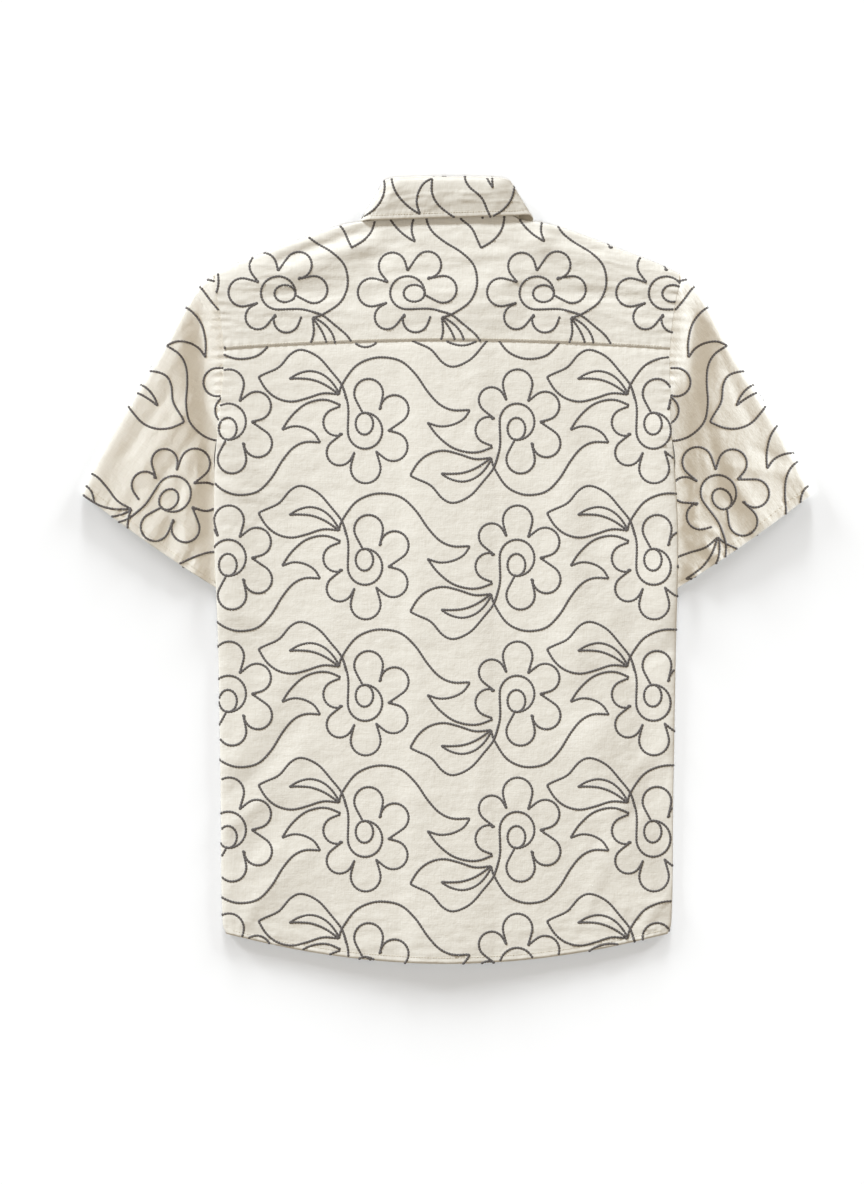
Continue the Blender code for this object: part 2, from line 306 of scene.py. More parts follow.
def evenly(points: Path, spacing: float) -> list[Mark]:
    """Steps along a smooth curve.

    Args:
        points: The points that it passes through; a doubled one makes a sharp corner.
        spacing: Distance between steps.

    Returns:
        The middle and the direction of each step.
    """
    fine: Path = []
    for i in range(len(points) - 1):
        before, start = points[max(i - 1, 0)], points[i]
        end, after = points[i + 1], points[min(i + 2, len(points) - 1)]
        if (end - start).length < SAME_PLACE:
            continue
        way = end - start
        leaving = (end - before) / 2 if (start - before).length > SAME_PLACE else way
        arriving = (after - start) / 2 if (after - end).length > SAME_PLACE else way
        fine += [curve(start, leaving, end, arriving, step / FINE_STEPS) for step in range(FINE_STEPS)]
    fine.append(points[-1])
    xs = np.array([p[:] for p in fine])
    run = np.concatenate([[0], np.cumsum(np.linalg.norm(np.diff(xs, axis=0), axis=1))])
    count = max(1, round(run[-1] / spacing))
    marks = np.linspace(0, run[-1], count + 1)
    ends = np.stack([np.interp(marks, run, xs[:, k]) for k in range(2)], axis=1)
    return [
        (Vector((ends[i] + ends[i + 1]) / 2), Vector(ends[i + 1] - ends[i]).normalized())
        for i in range(count)
    ]


def linear(code: str, alpha: float = 1.0) -> tuple[float, float, float, float]:
    """Turns an sRGB hex colour into the linear one that shaders take.

    Args:
        code: Six hex digits.
        alpha: Opacity.

    Returns:
        Red, green, blue and alpha.
    """
    parts = [int(code[i : i + 2], 16) / 255 for i in (0, 2, 4)]
    red, green, blue = ((c / 12.92) if c <= 0.04045 else ((c + 0.055) / 1.055) ** 2.4 for c in parts)
    return red, green, blue, alpha


def feed(tree: bpy.types.NodeTree, node: bpy.types.Node, inputs: dict[str | int, Any]) -> None:
    """Sets and links a node's inputs.

    Args:
        tree: The material's nodes.
        node: The node.
        inputs: A value or another node's socket for each input, by name or number.
    """
    for name, value in inputs.items():
        if isinstance(value, bpy.types.NodeSocket):
            tree.links.new(value, node.inputs[name])
        else:
            node.inputs[name].default_value = value


def add_node(
    tree: bpy.types.NodeTree, kind: str, inputs: dict[str | int, Any], **settings: Any
) -> bpy.types.Node:
    """Adds a shader node.

    Args:
        tree: The material's nodes.
        kind: The node's type.
        inputs: A value or another node's socket for each input, by name or number.
        settings: The node's own settings.

    Returns:
        The node.
    """
    node = tree.nodes.new(kind)
    for name, value in settings.items():
        setattr(node, name, value)
    feed(tree, node, inputs)
    return node


def new_material(name: str) -> tuple[bpy.types.Material, bpy.types.NodeTree, bpy.types.Node]:
    """Makes an empty material.

    Args:
        name: What it is called.

    Returns:
        The material, its nodes and its Principled shader.
    """
    made = bpy.data.materials.new(name)
    made.use_nodes = True
    return made, made.node_tree, made.node_tree.nodes["Principled BSDF"]


@dataclass(frozen=True)
class SlubCotton:
    """Unbleached cotton and linen, plain woven: thick and thin threads show as fine streaks."""

    name: str = "unbleached_slub_cotton"
    light: str = "EEE9DE"
    dark: str = "E0D9CB"
    fleck: str = "CFC3B0"
    thread_mm: float = 0.9  # drawn twice as coarse as the real weave, so that it shows
    slub_mm: float = 16.0
    crinkle_mm: float = 13.0

    def streak(self, tree: bpy.types.NodeTree, chart: Any, wide: float, long: float) -> Any:
        """Draws uneven threads that run one way.

        Args:
            tree: The material's nodes.
            chart: Socket with the place on the cloth in millimetres.
            wide: Size of a streak along the first axis.
            long: Size of a streak along the second axis.

        Returns:
            The socket of their strength.
        """
        place = add_node(tree, "ShaderNodeMapping", {"Vector": chart, "Scale": (1 / wide, 1 / long, 1)})
        grain = add_node(
            tree,
            "ShaderNodeTexNoise",
            {"Vector": place.outputs[0], "Scale": 1.0, "Detail": 2.0, "Roughness": 0.55},
        )
        return grain.outputs["Fac"]

    def build(self) -> bpy.types.Material:
        """Builds the material on the cloth's own map, so that its threads follow each piece.

        Returns:
            The material.
        """
        made, tree, shader = new_material(self.name)
        chart = add_node(tree, "ShaderNodeUVMap", {}, uv_map=CLOTH_MAP)
        in_mm = add_node(
            tree, "ShaderNodeVectorMath", {0: chart.outputs[0], "Scale": 1000.0}, operation="SCALE"
        ).outputs[0]
        weft = self.streak(tree, in_mm, self.slub_mm, self.thread_mm)
        warp = self.streak(tree, in_mm, self.thread_mm, self.slub_mm)
        woven = add_node(tree, "ShaderNodeMath", {0: weft, 1: warp}, operation="ADD").outputs[0]
        tone = add_node(
            tree,
            "ShaderNodeMapRange",
            {"Value": woven, "From Min": 0.6, "From Max": 1.4, "To Min": 0.0, "To Max": 1.0},
        ).outputs[0]
        ground = add_node(
            tree,
            "ShaderNodeMix",
            {"Factor": tone, 6: linear(self.dark), 7: linear(self.light)},
            data_type="RGBA",
        ).outputs[2]
        speck = add_node(
            tree, "ShaderNodeTexNoise", {"Vector": in_mm, "Scale": 0.55, "Detail": 3.0, "Roughness": 0.7}
        ).outputs["Fac"]
        flecks = add_node(
            tree,
            "ShaderNodeMapRange",
            {"Value": speck, "From Min": 0.62, "From Max": 0.8, "To Min": 0.0, "To Max": 0.5},
        ).outputs[0]
        colour = add_node(
            tree,
            "ShaderNodeMix",
            {"Factor": flecks, 6: ground, 7: linear(self.fleck)},
            data_type="RGBA",
        ).outputs[2]
        crinkle = add_node(
            tree,
            "ShaderNodeTexNoise",
            {"Vector": in_mm, "Scale": 1 / self.crinkle_mm, "Detail": 4.0, "Roughness": 0.62},
        ).outputs["Fac"]
        creased = add_node(
            tree, "ShaderNodeBump", {"Strength": 1.0, "Distance": 0.9 * MM, "Height": crinkle}
        )
        threads = add_node(
            tree,
            "ShaderNodeBump",
            {"Strength": 0.7, "Distance": 0.16 * MM, "Height": woven, "Normal": creased.outputs[0]},
        )
        look = {"Base Color": colour, "Normal": threads.outputs[0], "Roughness": 0.92}
        look |= {"Specular IOR Level": 0.25, "Sheen Weight": 0.12, "Sheen Roughness": 0.6}
        feed(tree, shader, look)
        return made


@dataclass(frozen=True)
class SpunThread:
    """Spun sewing or embroidery thread: matt, with the twist showing as fine slanting ribs."""

    name: str
    colour: str
    worn: str
    roughness: float = 0.75

    def build(self) -> bpy.types.Material:
        """Builds the material.

        Returns:
            The material.
        """
        made, tree, shader = new_material(self.name)
        place = add_node(tree, "ShaderNodeTexCoord", {}).outputs["Object"]
        uneven = add_node(
            tree, "ShaderNodeTexNoise", {"Vector": place, "Scale": 420.0, "Detail": 2.0}
        ).outputs["Fac"]
        colour = add_node(
            tree,
            "ShaderNodeMix",
            {"Factor": uneven, 6: linear(self.colour), 7: linear(self.worn)},
            data_type="RGBA",
        ).outputs[2]
        twist = add_node(
            tree, "ShaderNodeBump", {"Strength": 0.5, "Distance": 0.1 * MM, "Height": uneven}
        )
        look = {"Base Color": colour, "Normal": twist.outputs[0], "Roughness": self.roughness}
        feed(tree, shader, look | {"Specular IOR Level": 0.3})
        return made


@dataclass(frozen=True)
class CastPolyester:
    """Cast polyester button blank, turned and tumbled: soft gloss with faint cloudy layers."""

    name: str = "cast_polyester_button"
    light: str = "EEE8DA"
    dark: str = "D8CDB6"
    cloud_mm: float = 5.0

    def build(self) -> bpy.types.Material:
        """Builds the material.

        Returns:
            The material.
        """
        made, tree, shader = new_material(self.name)
        place = add_node(tree, "ShaderNodeTexCoord", {}).outputs["Object"]
        cloud = add_node(
            tree,
            "ShaderNodeTexNoise",
            {"Vector": place, "Scale": 1 / (self.cloud_mm * MM), "Detail": 3.0, "Distortion": 1.2},
        ).outputs["Fac"]
        colour = add_node(
            tree,
            "ShaderNodeMix",
            {"Factor": cloud, 6: linear(self.dark), 7: linear(self.light)},
            data_type="RGBA",
        ).outputs[2]
        feed(tree, shader, {"Base Color": colour, "Roughness": 0.28, "IOR": 1.56})
        return made


@dataclass(frozen=True)
class BackdropPaper:
    """Matt white backdrop paper: a faint tooth in the light, no pattern."""

    name: str = "white_backdrop_paper"
    colour: str = "F3F3F3"
    tooth_mm: float = 1.5

    def build(self) -> bpy.types.Material:
        """Builds the material.

        Returns:
            The material.
        """
        made, tree, shader = new_material(self.name)
        place = add_node(tree, "ShaderNodeTexCoord", {}).outputs["Object"]
        tooth = add_node(
            tree, "ShaderNodeTexNoise", {"Vector": place, "Scale": 1 / (self.tooth_mm * MM)}
        ).outputs["Fac"]
        bump = add_node(
            tree, "ShaderNodeBump", {"Strength": 0.05, "Distance": 0.05 * MM, "Height": tooth}
        )
        look = {"Base Color": linear(self.colour), "Normal": bump.outputs[0]}
        feed(tree, shader, look | {"Roughness": 1.0, "Specular IOR Level": 0.0})
        return made


def world_point(point: Iterable[float]) -> Vector:
    """Returns a place on the cutting table as one in the frame, in metres."""
    x, y, z = point
    return Vector((x * MM, y * MM + HEM_MIDDLE, z * MM))


def tree_of(piece: bpy.types.Object) -> BVHTree:
    """Returns a search tree of a piece as shown."""
    return BVHTree.FromObject(piece, bpy.context.evaluated_depsgraph_get())


def mesh_of(name: str, grid: bmesh.types.BMesh) -> bpy.types.Mesh:
    """Turns a bmesh into a mesh.

    Args:
        name: What it is called.
        grid: The bmesh, which is freed.

    Returns:
        The mesh.
    """
    mesh = bpy.data.meshes.new(name)
    grid.to_mesh(mesh)
    grid.free()
    return mesh


def add_object(name: str, shape: bpy.types.ID) -> bpy.types.Object:
    """Puts a mesh, a lamp or a lens in the scene.

    Args:
        name: What it is called.
        shape: What it is.

    Returns:
        The object.
    """
    added = bpy.data.objects.new(name, shape)
    bpy.context.scene.collection.objects.link(added)
    return added


def finish_piece(
    name: str, mesh: bpy.types.Mesh, material: bpy.types.Material
) -> bpy.types.Object:
    """Makes a mesh a piece that rides on the shirt.

    Args:
        name: The piece's name.
        mesh: Its mesh.
        material: Its finish.

    Returns:
        The piece.
    """
    mesh.shade_smooth()
    mesh.materials.append(material)
    piece = add_object(name, mesh)
    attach(piece, BODY)
    log.info("%s: %d faces", name, len(mesh.polygons))
    return piece


class Cut(NamedTuple):
    """What shows of a cloth cut flat, in metres, and what it lies on when the shirt is laid."""

    width: float
    length: float
    area: float
    rests_on: tuple[str, ...]
    held: str = "laid"


CUTS = {
    "back_panel": Cut(0.52, 0.67, 0.31, ("front_left", "front_right")),
    "back_yoke": Cut(0.52, 0.19, 0.057, ("front_left", "front_right", "collar_stand")),
    "front_left": Cut(0.25, 0.80, 0.165, ("button_4",)),
    "front_right": Cut(0.28, 0.80, 0.185, ("front_band",)),
    "front_band": Cut(0.034, 0.72, 0.022, ("button_4",)),
    "sleeve_left": Cut(0.42, 0.30, 0.055, ("front_left",)),
    "sleeve_right": Cut(0.42, 0.30, 0.055, ("front_right",)),
    "collar_leaf": Cut(0.44, 0.075, 0.021, ("collar_stand",), "folded"),
    "collar_stand": Cut(0.44, 0.036, 0.0093, ("front_right",)),
}


@dataclass
class ClothMaker:
    """Lays grids of cloth on surfaces, gives them their thickness and hides the solids that they
    replace.
    """

    material: bpy.types.Material
    thickness: float = 0.8

    def lay(
        self,
        node: str,
        name: str,
        surface: Surface,
        size: tuple[int, int],
        thickness: float | None = None,
    ) -> bpy.types.Object:
        """Lays one piece of cloth.

        Args:
            node: The solid that it stands for.
            name: The piece's name.
            surface: Gives the place and the spot on the cut cloth for two shares from 0 to 1.
            size: Faces across and along.
            thickness: The wall's thickness if it isn't the usual one.

        Returns:
            The piece.
        """
        grid = bmesh.new()
        bmesh.ops.create_grid(grid, x_segments=size[0], y_segments=size[1], size=0.5)
        chart = grid.loops.layers.uv.new(CLOTH_MAP)
        for corner in grid.verts:
            place, spot = surface(corner.co.x + 0.5, corner.co.y + 0.5)
            corner.co = world_point(place)
            for loop in corner.link_loops:
                loop[chart].uv = spot[:2]
        piece = finish_piece(name, mesh_of(name, grid), self.material)
        wall = piece.modifiers.new("wall", "SOLIDIFY")
        wall.thickness = (thickness or self.thickness) * MM
        wall.offset = 0.0
        cut = CUTS[node]
        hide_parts(node)
        list(cut.rests_on)
        return piece


@dataclass
class LaidPlan:
    """The outline of the laid shirt and the height of its layers, as in its solids."""

    hem_rise: float = 26.0
    hem_half: float = 216.0
    yoke_middle: float = 653.0
    yoke_drop: float = 8.0
    underarm: float = 526.0
    shoulder_tip: float = 722.0
    neck_half: float = 75.0
    wall: float = 1.0
    side_gap: float = 0.4
    seam_gap: float = 0.6
    tuck: float = 2.0  # how far an edge passes under the one sewn on it
    button_room: float = 2.5
    outer_face: float = 0.35  # of the fronts, whose stitches stay above the surface
    band_half: float = 16.0
    right_front_low: float = 4.0
    leaf_lift: float = 1.7
    sleeve_lift: float = 2.6
    body_loft: float = 2.0
    armhole_loft: float = 3.4
    shoulder_loft: float = 4.8
    side_roll: float = 11.0
    shoulder_roll: float = 19.0
    yoke_half: float = 225.0
    leaf_point: Slope = Slope(61, 668)
    leaf_lean: float = 0.32
    leaf_half: float = 60.0
    leaf_rise: float = 0.73
    dome_rise: float = 2.6  # the back over the buttoned fronts
    tab_rise: float = 4.9  # the back over the front of the collar
    least_puff: float = 0.2
    yoke_gathers: Gathers = Gathers(0.38, 9.5, 10, 1)
    hem_gathers: Gathers = Gathers(0.5, 7.5, 6, 2)
    armhole_gathers: Gathers = Gathers(0.75, 9.4, 12, 3)
    right_gathers_up: float = 9.0
    row_depth: float = 0.45  # of the groove along a row of stitches
    row_width: float = 1.5
    sleeve_across: tuple[float, float] = (211.0, 229.0)  # where the body climbs on the sleeves
    sleeve_low: tuple[float, float] = (336.0, 384.0)
    sleeve_high: tuple[float, float] = (538.0, 572.0)
    edges: tuple[Edge, ...] = (
        Edge(26, 229, 229),
        Edge(42, 235, 235),
        Edge(170, 237, 237),
        Edge(340, 240, 240),
        Edge(449, 244, 242),
        Edge(526, 243, 238),
        Edge(560, 240, 235),
        Edge(600, 236, 234),
        Edge(645, 234, 234),
        Edge(690, 239, 239),
        Edge(722, 246, 246),
    )
    shoulder: tuple[Slope, ...] = (
        Slope(75, 780),
        Slope(115, 773),
        Slope(150, 761),
        Slope(184, 748),
        Slope(218, 735),
        Slope(246, 722),
    )
    folds: tuple[Fold, ...] = (
        Fold("trough_right_top", 137, 640, 151, 546, 14, -0.9),
        Fold("trough_right", 152, 540, 153, 276, 15, -0.9),
        Fold("ridge_beside_trough", 126, 520, 128, 300, 20, 0.5),
        Fold("trough_right_hem", 153, 131, 194, 40, 12, -2.0),
        Fold("ridge_right_hem", 176, 158, 216, 66, 13, 1.4),
        Fold("hollow_right_sleeve", 214, 452, 226, 428, 14, -1.8),
        Fold("hollow_right_side", 226, 128, 232, 92, 12, -1.6),
        Fold("ridge_left_underarm", -228, 538, -178, 505, 19, 1.6),
        Fold("hollow_left_side", -208, 276, -172, 232, 15, -1.0),
        Fold("ridge_left_side", -216, 214, -158, 176, 15, 0.8),
        Fold("trough_left_hem", -172, 158, -216, 96, 13, -1.9),
        Fold("ridge_left_hem", -206, 62, -150, 112, 14, 1.2),
        Fold("ridge_left_middle", -104, 470, -122, 330, 20, 0.9),
        Fold("trough_middle", -20, 330, 12, 180, 22, -0.9),
        Fold("yoke_left_low", -196, 686, -92, 680, 9, 0.9),
        Fold("yoke_left_hollow", -186, 704, -104, 700, 8, -0.8),
        Fold("yoke_left_high", -150, 722, -58, 731, 9, 0.8),
        Fold("yoke_middle", -36, 700, 58, 706, 9, 0.7),
        Fold("yoke_middle_hollow", -44, 722, 40, 727, 9, -0.8),
        Fold("yoke_right_high", 70, 728, 160, 717, 9, 0.8),
        Fold("yoke_right_hollow", 82, 708, 176, 700, 8, -0.8),
        Fold("yoke_right_low", 96, 684, 204, 678, 9, 0.8),
    )
    creases: tuple[Fold, ...] = (  # the finer ones, which only the shells have
        Fold("shoulder_left_crease", -84, 770, -172, 739, 7, -3.4),
        Fold("shoulder_left_ridge", -76, 753, -166, 722, 9, 1.7),
        Fold("shoulder_right_crease", 92, 772, 160, 748, 6, -1.7),
        Fold("shoulder_right_ridge", 84, 756, 150, 736, 7, 0.8),
        Fold("under_leaf", -84, 781, 84, 781, 6, -1.8),
        Fold("broad_right_high", 130, 480, 140, 330, 30, 1.6),
        Fold("broad_right", 140, 330, 154, 232, 30, 2.3),
        Fold("broad_right_low", 154, 232, 182, 120, 26, 2.6),
        Fold("broad_right_hollow", 194, 345, 222, 150, 20, -1.8),
        Fold("broad_right_hem", 150, 128, 190, 56, 13, 1.3),
        Fold("broad_left", -222, 214, -160, 318, 17, 1.0),
        Fold("broad_left_low", -226, 150, -150, 226, 15, 0.8),
        Fold("eased_left_hem", -172, 158, -216, 96, 13, 1.2),
        Fold("broad_left_hollow", -208, 186, -148, 262, 13, -0.7),
        Fold("broad_left_hem", -222, 88, -176, 118, 12, 1.1),
        Fold("broad_right_waist", 178, 430, 232, 372, 16, 1.2),
        Fold("yoke_line_1", -214, 712, -168, 710, 5, 0.7),
        Fold("yoke_line_2", -160, 694, -108, 693, 5, 0.7),
        Fold("yoke_line_3", -96, 712, -40, 716, 5, 0.8),
        Fold("yoke_line_4", -70, 692, -18, 688, 5, 0.6),
        Fold("yoke_line_5", 8, 741, 66, 744, 5, 0.7),
        Fold("yoke_line_6", 20, 690, 84, 694, 5, 0.7),
        Fold("yoke_line_7", 62, 716, 110, 712, 5, 0.8),
        Fold("yoke_line_8", 128, 692, 186, 690, 5, 0.7),
        Fold("yoke_line_9", 142, 712, 206, 706, 5, 0.7),
        Fold("yoke_line_10", 186, 672, 222, 668, 5, 0.7),
        Fold("yoke_line_11", -220, 676, -182, 672, 5, 0.6),
        Fold("yoke_line_12", -134, 744, -84, 752, 6, 0.7),
        Fold("line_left_underarm", -232, 500, -196, 488, 7, 0.9),
        Fold("line_left_waist", -236, 372, -180, 352, 9, 0.8),
        Fold("line_left_low_1", -226, 182, -176, 214, 8, -0.5),
        Fold("line_left_low_2", -230, 140, -196, 168, 7, 0.9),
        Fold("line_left_low_3", -150, 84, -96, 112, 9, 0.6),
        Fold("line_left_low_4", -212, 44, -184, 84, 7, 0.7),
        Fold("line_right_waist", 234, 330, 190, 310, 9, -0.9),
        Fold("line_right_low_1", 232, 232, 196, 204, 8, 0.9),
        Fold("line_right_low_2", 228, 196, 190, 150, 9, -0.9),
        Fold("line_right_low_3", 168, 120, 148, 60, 9, 0.8),
        Fold("line_right_low_4", 224, 64, 206, 38, 6, 0.8),
        Fold("line_middle_1", -60, 260, -34, 170, 14, 0.5),
        Fold("line_middle_2", 46, 420, 66, 300, 16, -0.5),
        Fold("line_middle_3", 70, 170, 104, 110, 14, 0.5),
        Fold("line_middle_4", -30, 560, -8, 450, 18, 0.4),
    )

    def side_edge(self, x: float, y: float) -> float:
        """Returns how far the side or armhole seam is from the centre line."""
        return read(self.edges, "up", "right" if x > 0 else "left", y)

    def hem(self, x: float) -> float:
        """Returns the height of the hem."""
        return self.hem_rise * (x / self.hem_half) ** 2

    def yoke_seam(self, x: float) -> float:
        """Returns the height of the yoke seam."""
        return self.yoke_middle - self.yoke_drop * (x / self.yoke_half) ** 2

    def shoulder_line(self, x: float) -> float:
        """Returns the height at which the yoke rolls to the front."""
        return read(self.shoulder, "out", "up", abs(x))

    def over_collar(self, x: float, y: float) -> float:
        """Lifts the fronts over the collar's points.

        Args:
            x: Distance across the shirt.
            y: Height above the hem.

        Returns:
            The lift.
        """
        leaf_out = self.leaf_point.out + (y - self.leaf_point.up) * self.leaf_lean
        leaf_low = self.leaf_point.up + max(self.leaf_half - abs(x), 0) * self.leaf_rise
        beside = 1 - ramp(abs(x), leaf_out + 6, leaf_out + 34)
        thicker = 0.2 + ramp(y, 730, 768)
        return (self.leaf_lift + thicker) * beside * ramp(y, leaf_low - 56, leaf_low - 22)

    def over_sleeve(self, x: float, y: float, early: float = 0.0) -> float:
        """Lifts the body's side over the inner edge of the sleeve.

        Args:
            x: Distance across the shirt.
            y: Height above the hem.
            early: How much sooner the lift starts.

        Returns:
            The lift.
        """
        across = ramp(abs(x), self.sleeve_across[0] - 1.5 * early, self.sleeve_across[1])
        low, high = self.sleeve_low, self.sleeve_high
        along = ramp(y, low[0] - early, low[1] - early) * (1 - ramp(y, high[0] + early, high[1] + early))
        return self.sleeve_lift * across * along

    def over_buttons(self, x: float) -> float:
        """Returns the lift of the left front over its buttons."""
        return self.button_room * (1 - ramp(abs(x), self.band_half + 2, 62))

    def over_band(self, x: float) -> float:
        """Returns the lift of the right front over the buttonhole band."""
        return self.right_front_low * (1 - ramp(abs(x), self.band_half + 10, 80))

    def pucker(self, away: float, along: float, gathers: Gathers, other: float = 0.0) -> float:
        """Draws up small gathers along a row of stitches.

        Args:
            away: Distance from the row.
            along: Place along it.
            gathers: Their sizes.
            other: Added to the seed, so that the shirt's two sides differ.

        Returns:
            Their height, less than 0 in a hollow.
        """
        seed = gathers.seed + other
        wobble = 2.2 * wander(along, 0, 26, seed)
        swell = gathers.height * (0.55 + 0.45 * wander(along, 40, 17, seed + 5))
        return swell * math.cos(2 * math.pi * along / gathers.pitch + wobble) * bell(away, gathers.width)

    def sewn_lines(self, x: float, y: float) -> float:
        """Draws in the back at its seams and at the hem's stitching.

        Args:
            x: Distance across the shirt.
            y: Height above the hem.

        Returns:
            The change in its height.
        """
        from_yoke = y - self.yoke_seam(x)
        total = self.pucker(from_yoke, x, self.yoke_gathers) - 0.2 * bell(from_yoke - 2.4, 1.1)
        from_hem = y - self.hem(x) - HEM_FOLD
        total += self.pucker(from_hem, x, self.hem_gathers)
        total -= self.row_depth * bell(from_hem, self.row_width)
        if y > self.underarm - 14:
            from_seam = self.side_edge(x, y) - abs(x)
            up = y + (self.right_gathers_up if x > 0 else 0)
            total += self.pucker(from_seam, up, self.armhole_gathers, float(x > 0))
        return total

    def crinkle(self, x: float, y: float) -> float:
        """Wrinkles washed cotton in waves too long for the material's bump.

        Args:
            x: Distance across the shirt.
            y: Height above the hem.

        Returns:
            Their height.
        """
        patch = 0.5 + 0.5 * wander(x, y, 90, 23)
        on_yoke = ramp(y, self.yoke_middle - 6, self.yoke_middle + 10)
        near_hem = 1 - ramp(y - self.hem(x), 26, 74)
        near_left = bell(x + 190, 90) * bell(y - 470, 110)
        lined = mix(0.2 + 0.3 * near_hem + 0.24 * near_left, 0.55, on_yoke) * (0.4 + patch)
        level = wrinkle(x / 62, y / 9.5, 51) + 0.6 * wrinkle(x / 34, (y + 0.12 * x) / 5.6, 57)
        slanting = wrinkle((x + y) / 70, (y - x) / 22, 61) * (1 - on_yoke)
        waves = 0.5 * wander(x, y, 74, 11) + 0.22 * wander(x, y, 24, 17)
        return waves + lined * level + 0.2 * slanting * patch

    def back_height(self, x: float, y: float) -> float:
        """Finds the height of the back and of the yoke.

        Args:
            x: Distance across the shirt.
            y: Height above the hem.

        Returns:
            The middle of the cloth.
        """
        lift = max(self.over_band(x), self.over_collar(x, y), self.over_sleeve(x, y, 14))
        fall = 1 - 0.5 * ramp(y, 715, 770)
        dome = self.dome_rise * (1 - ramp(abs(x), 15, 170)) * fall
        tab = self.tab_rise * (1 - ramp(abs(x), 40, 110)) * ramp(y, 640, 684) * fall
        extra = max(dome, tab, lift) - lift
        line = self.shoulder_line(x)
        by_armhole = ramp(abs(x), 165, 226) * ramp(y, self.underarm, self.underarm + 44)
        loft = mix(self.body_loft, self.armhole_loft, by_armhole)
        loft = mix(loft, self.shoulder_loft, ramp(y, line - 62, line - 16) * ramp(abs(x), 74, 104))
        free_side = 1 - ramp(y, self.underarm - 8, self.underarm + 30)
        side = mix(1, arch((self.side_edge(x, y) - abs(x)) / self.side_roll), free_side)
        top = mix(1, arch((line - y) / self.shoulder_roll), ramp(abs(x), 71, 88))
        hollows = relief(self.folds, x, y) + relief(self.creases, x, y)
        puff = extra + loft + hollows + self.sewn_lines(x, y) + self.crinkle(x, y)
        puff = max(puff, self.least_puff)
        return 1.5 * self.wall + self.side_gap + lift + side * top * puff


@dataclass
class Body:
    """Back, yoke, the two fronts and the buttonhole band."""

    plan: LaidPlan
    collar: Collar
    cloth: ClothMaker
    neck_gap: float = 1.3
    back_neck_gap: float = 0.9
    back_half: float = 236.0
    yoke_half: float = 240.0
    seam_sunk: float = 0.86  # how far an edge sinks below the one sewn on it
    hem_up: float = 2.0  # how much shorter the fronts are than the back
    shoulder_gap: float = 1.5
    band_rise: float = 0.6
    band_gap: float = 0.4
    right_inside: float = 2.0  # how far the right front's centre edge is inside the band's edge
    crowding: float = 1.15
    tab_room: float = 3.4
    band_thickness: float = 1.1

    def spot(self, x: float, y: float) -> Vector:
        """Returns the place on the cut cloth, in metres."""
        return Vector((x, y)) * MM

    def back(self, u: float, v: float) -> tuple[Vector, Vector]:
        """Shapes the back.

        Args:
            u: Share of the way across.
            v: Share of the way up.

        Returns:
            The place, and the spot on the cut cloth.
        """
        share = crowded(2 * u - 1)
        x = share * self.back_half
        y = mix(self.plan.hem(x), self.plan.yoke_seam(x) + self.plan.tuck, v)
        x = share * self.plan.side_edge(share, y)
        sunk = self.seam_sunk * ramp(y - self.plan.yoke_seam(x), -9, 0)
        return Vector((x, y, self.plan.back_height(x, y) - sunk)), self.spot(x, y)

    def yoke(self, u: float, v: float) -> tuple[Vector, Vector]:
        """Shapes the yoke.

        Args:
            u: Share of the way across.
            v: Share of the way up.

        Returns:
            The place, and the spot on the cut cloth.
        """
        share = crowded(2 * u - 1)
        height = crowded(v)
        x = share * self.yoke_half
        y = 0.0
        for _ in range(EDGE_PASSES):
            if abs(x) < self.plan.neck_half:
                top = self.collar.back_seam(x) - self.back_neck_gap
            else:
                top = self.plan.shoulder_line(x)
            y = mix(self.plan.yoke_seam(x), top, height)
            x = share * self.plan.side_edge(share, y)
        return Vector((x, y, self.plan.back_height(x, y))), self.spot(y, -x)

    def neck_edge(self, x: float) -> float:
        """Returns the top of a front below the collar stand."""
        return self.collar.front_seam(x) - self.neck_gap - self.tab_room * bell(x - 11, 11)

    def front(self, side: Side, u: float, v: float) -> tuple[Vector, Vector]:
        """Shapes a front.

        Args:
            side: Which front.
            u: Share of the way from its centre edge to its side.
            v: Share of the way up.

        Returns:
            The place, and the spot on the cut cloth.
        """
        half = self.plan.band_half
        centre = half + self.band_gap if side is Side.LEFT else self.right_inside - half
        out = 1 - (1 - u) ** self.crowding
        x = mix(centre, self.back_half, out)
        y = 0.0
        for _ in range(EDGE_PASSES):
            if x < self.plan.neck_half:
                top = self.neck_edge(x)
            else:
                top = self.plan.shoulder_line(x) - self.shoulder_gap
            y = mix(self.plan.hem(x) + self.hem_up, top, v)
            x = mix(centre, self.plan.side_edge(side.value, y), out)
        under = self.plan.over_buttons(x) if side is Side.LEFT else self.plan.over_band(max(x, 0))
        lift = max(under, self.plan.over_collar(x, y), self.plan.over_sleeve(x, y))
        soft = 0.22 * max(wander(x * side.value, y, 60, 31), 0) * ramp(x, 62, 90)
        z = lift + self.plan.outer_face + self.cloth.thickness / 2 + soft
        return Vector((side.value * x, y, z)), self.spot(side.value * x, y)

    def band(self, u: float, v: float) -> tuple[Vector, Vector]:
        """Shapes the buttonhole band.

        Args:
            u: Share of the way across.
            v: Share of the way up.

        Returns:
            The place, and the spot on the cut cloth.
        """
        x = (2 * u - 1) * self.plan.band_half
        y = mix(self.plan.hem(x) + self.hem_up, self.neck_edge(-x), v)
        return Vector((x, y, self.plan.button_room + self.band_rise)), self.spot(x, y)

    def build(self) -> dict[str, bpy.types.Object]:
        """Builds the five panels.

        Returns:
            The panels, by the solids that they stand for.
        """
        panels = (
            ("back_panel", "back_cloth", self.back, (164, 216), None),
            ("back_yoke", "yoke_cloth", self.yoke, (168, 56), None),
            ("front_left", "front_left_cloth", partial(self.front, Side.LEFT), (60, 190), None),
            ("front_right", "front_right_cloth", partial(self.front, Side.RIGHT), (64, 190), None),
            ("front_band", "buttonhole_band_cloth", self.band, (12, 200), self.band_thickness),
        )
        return {node: self.cloth.lay(node, *rest) for node, *rest in panels}


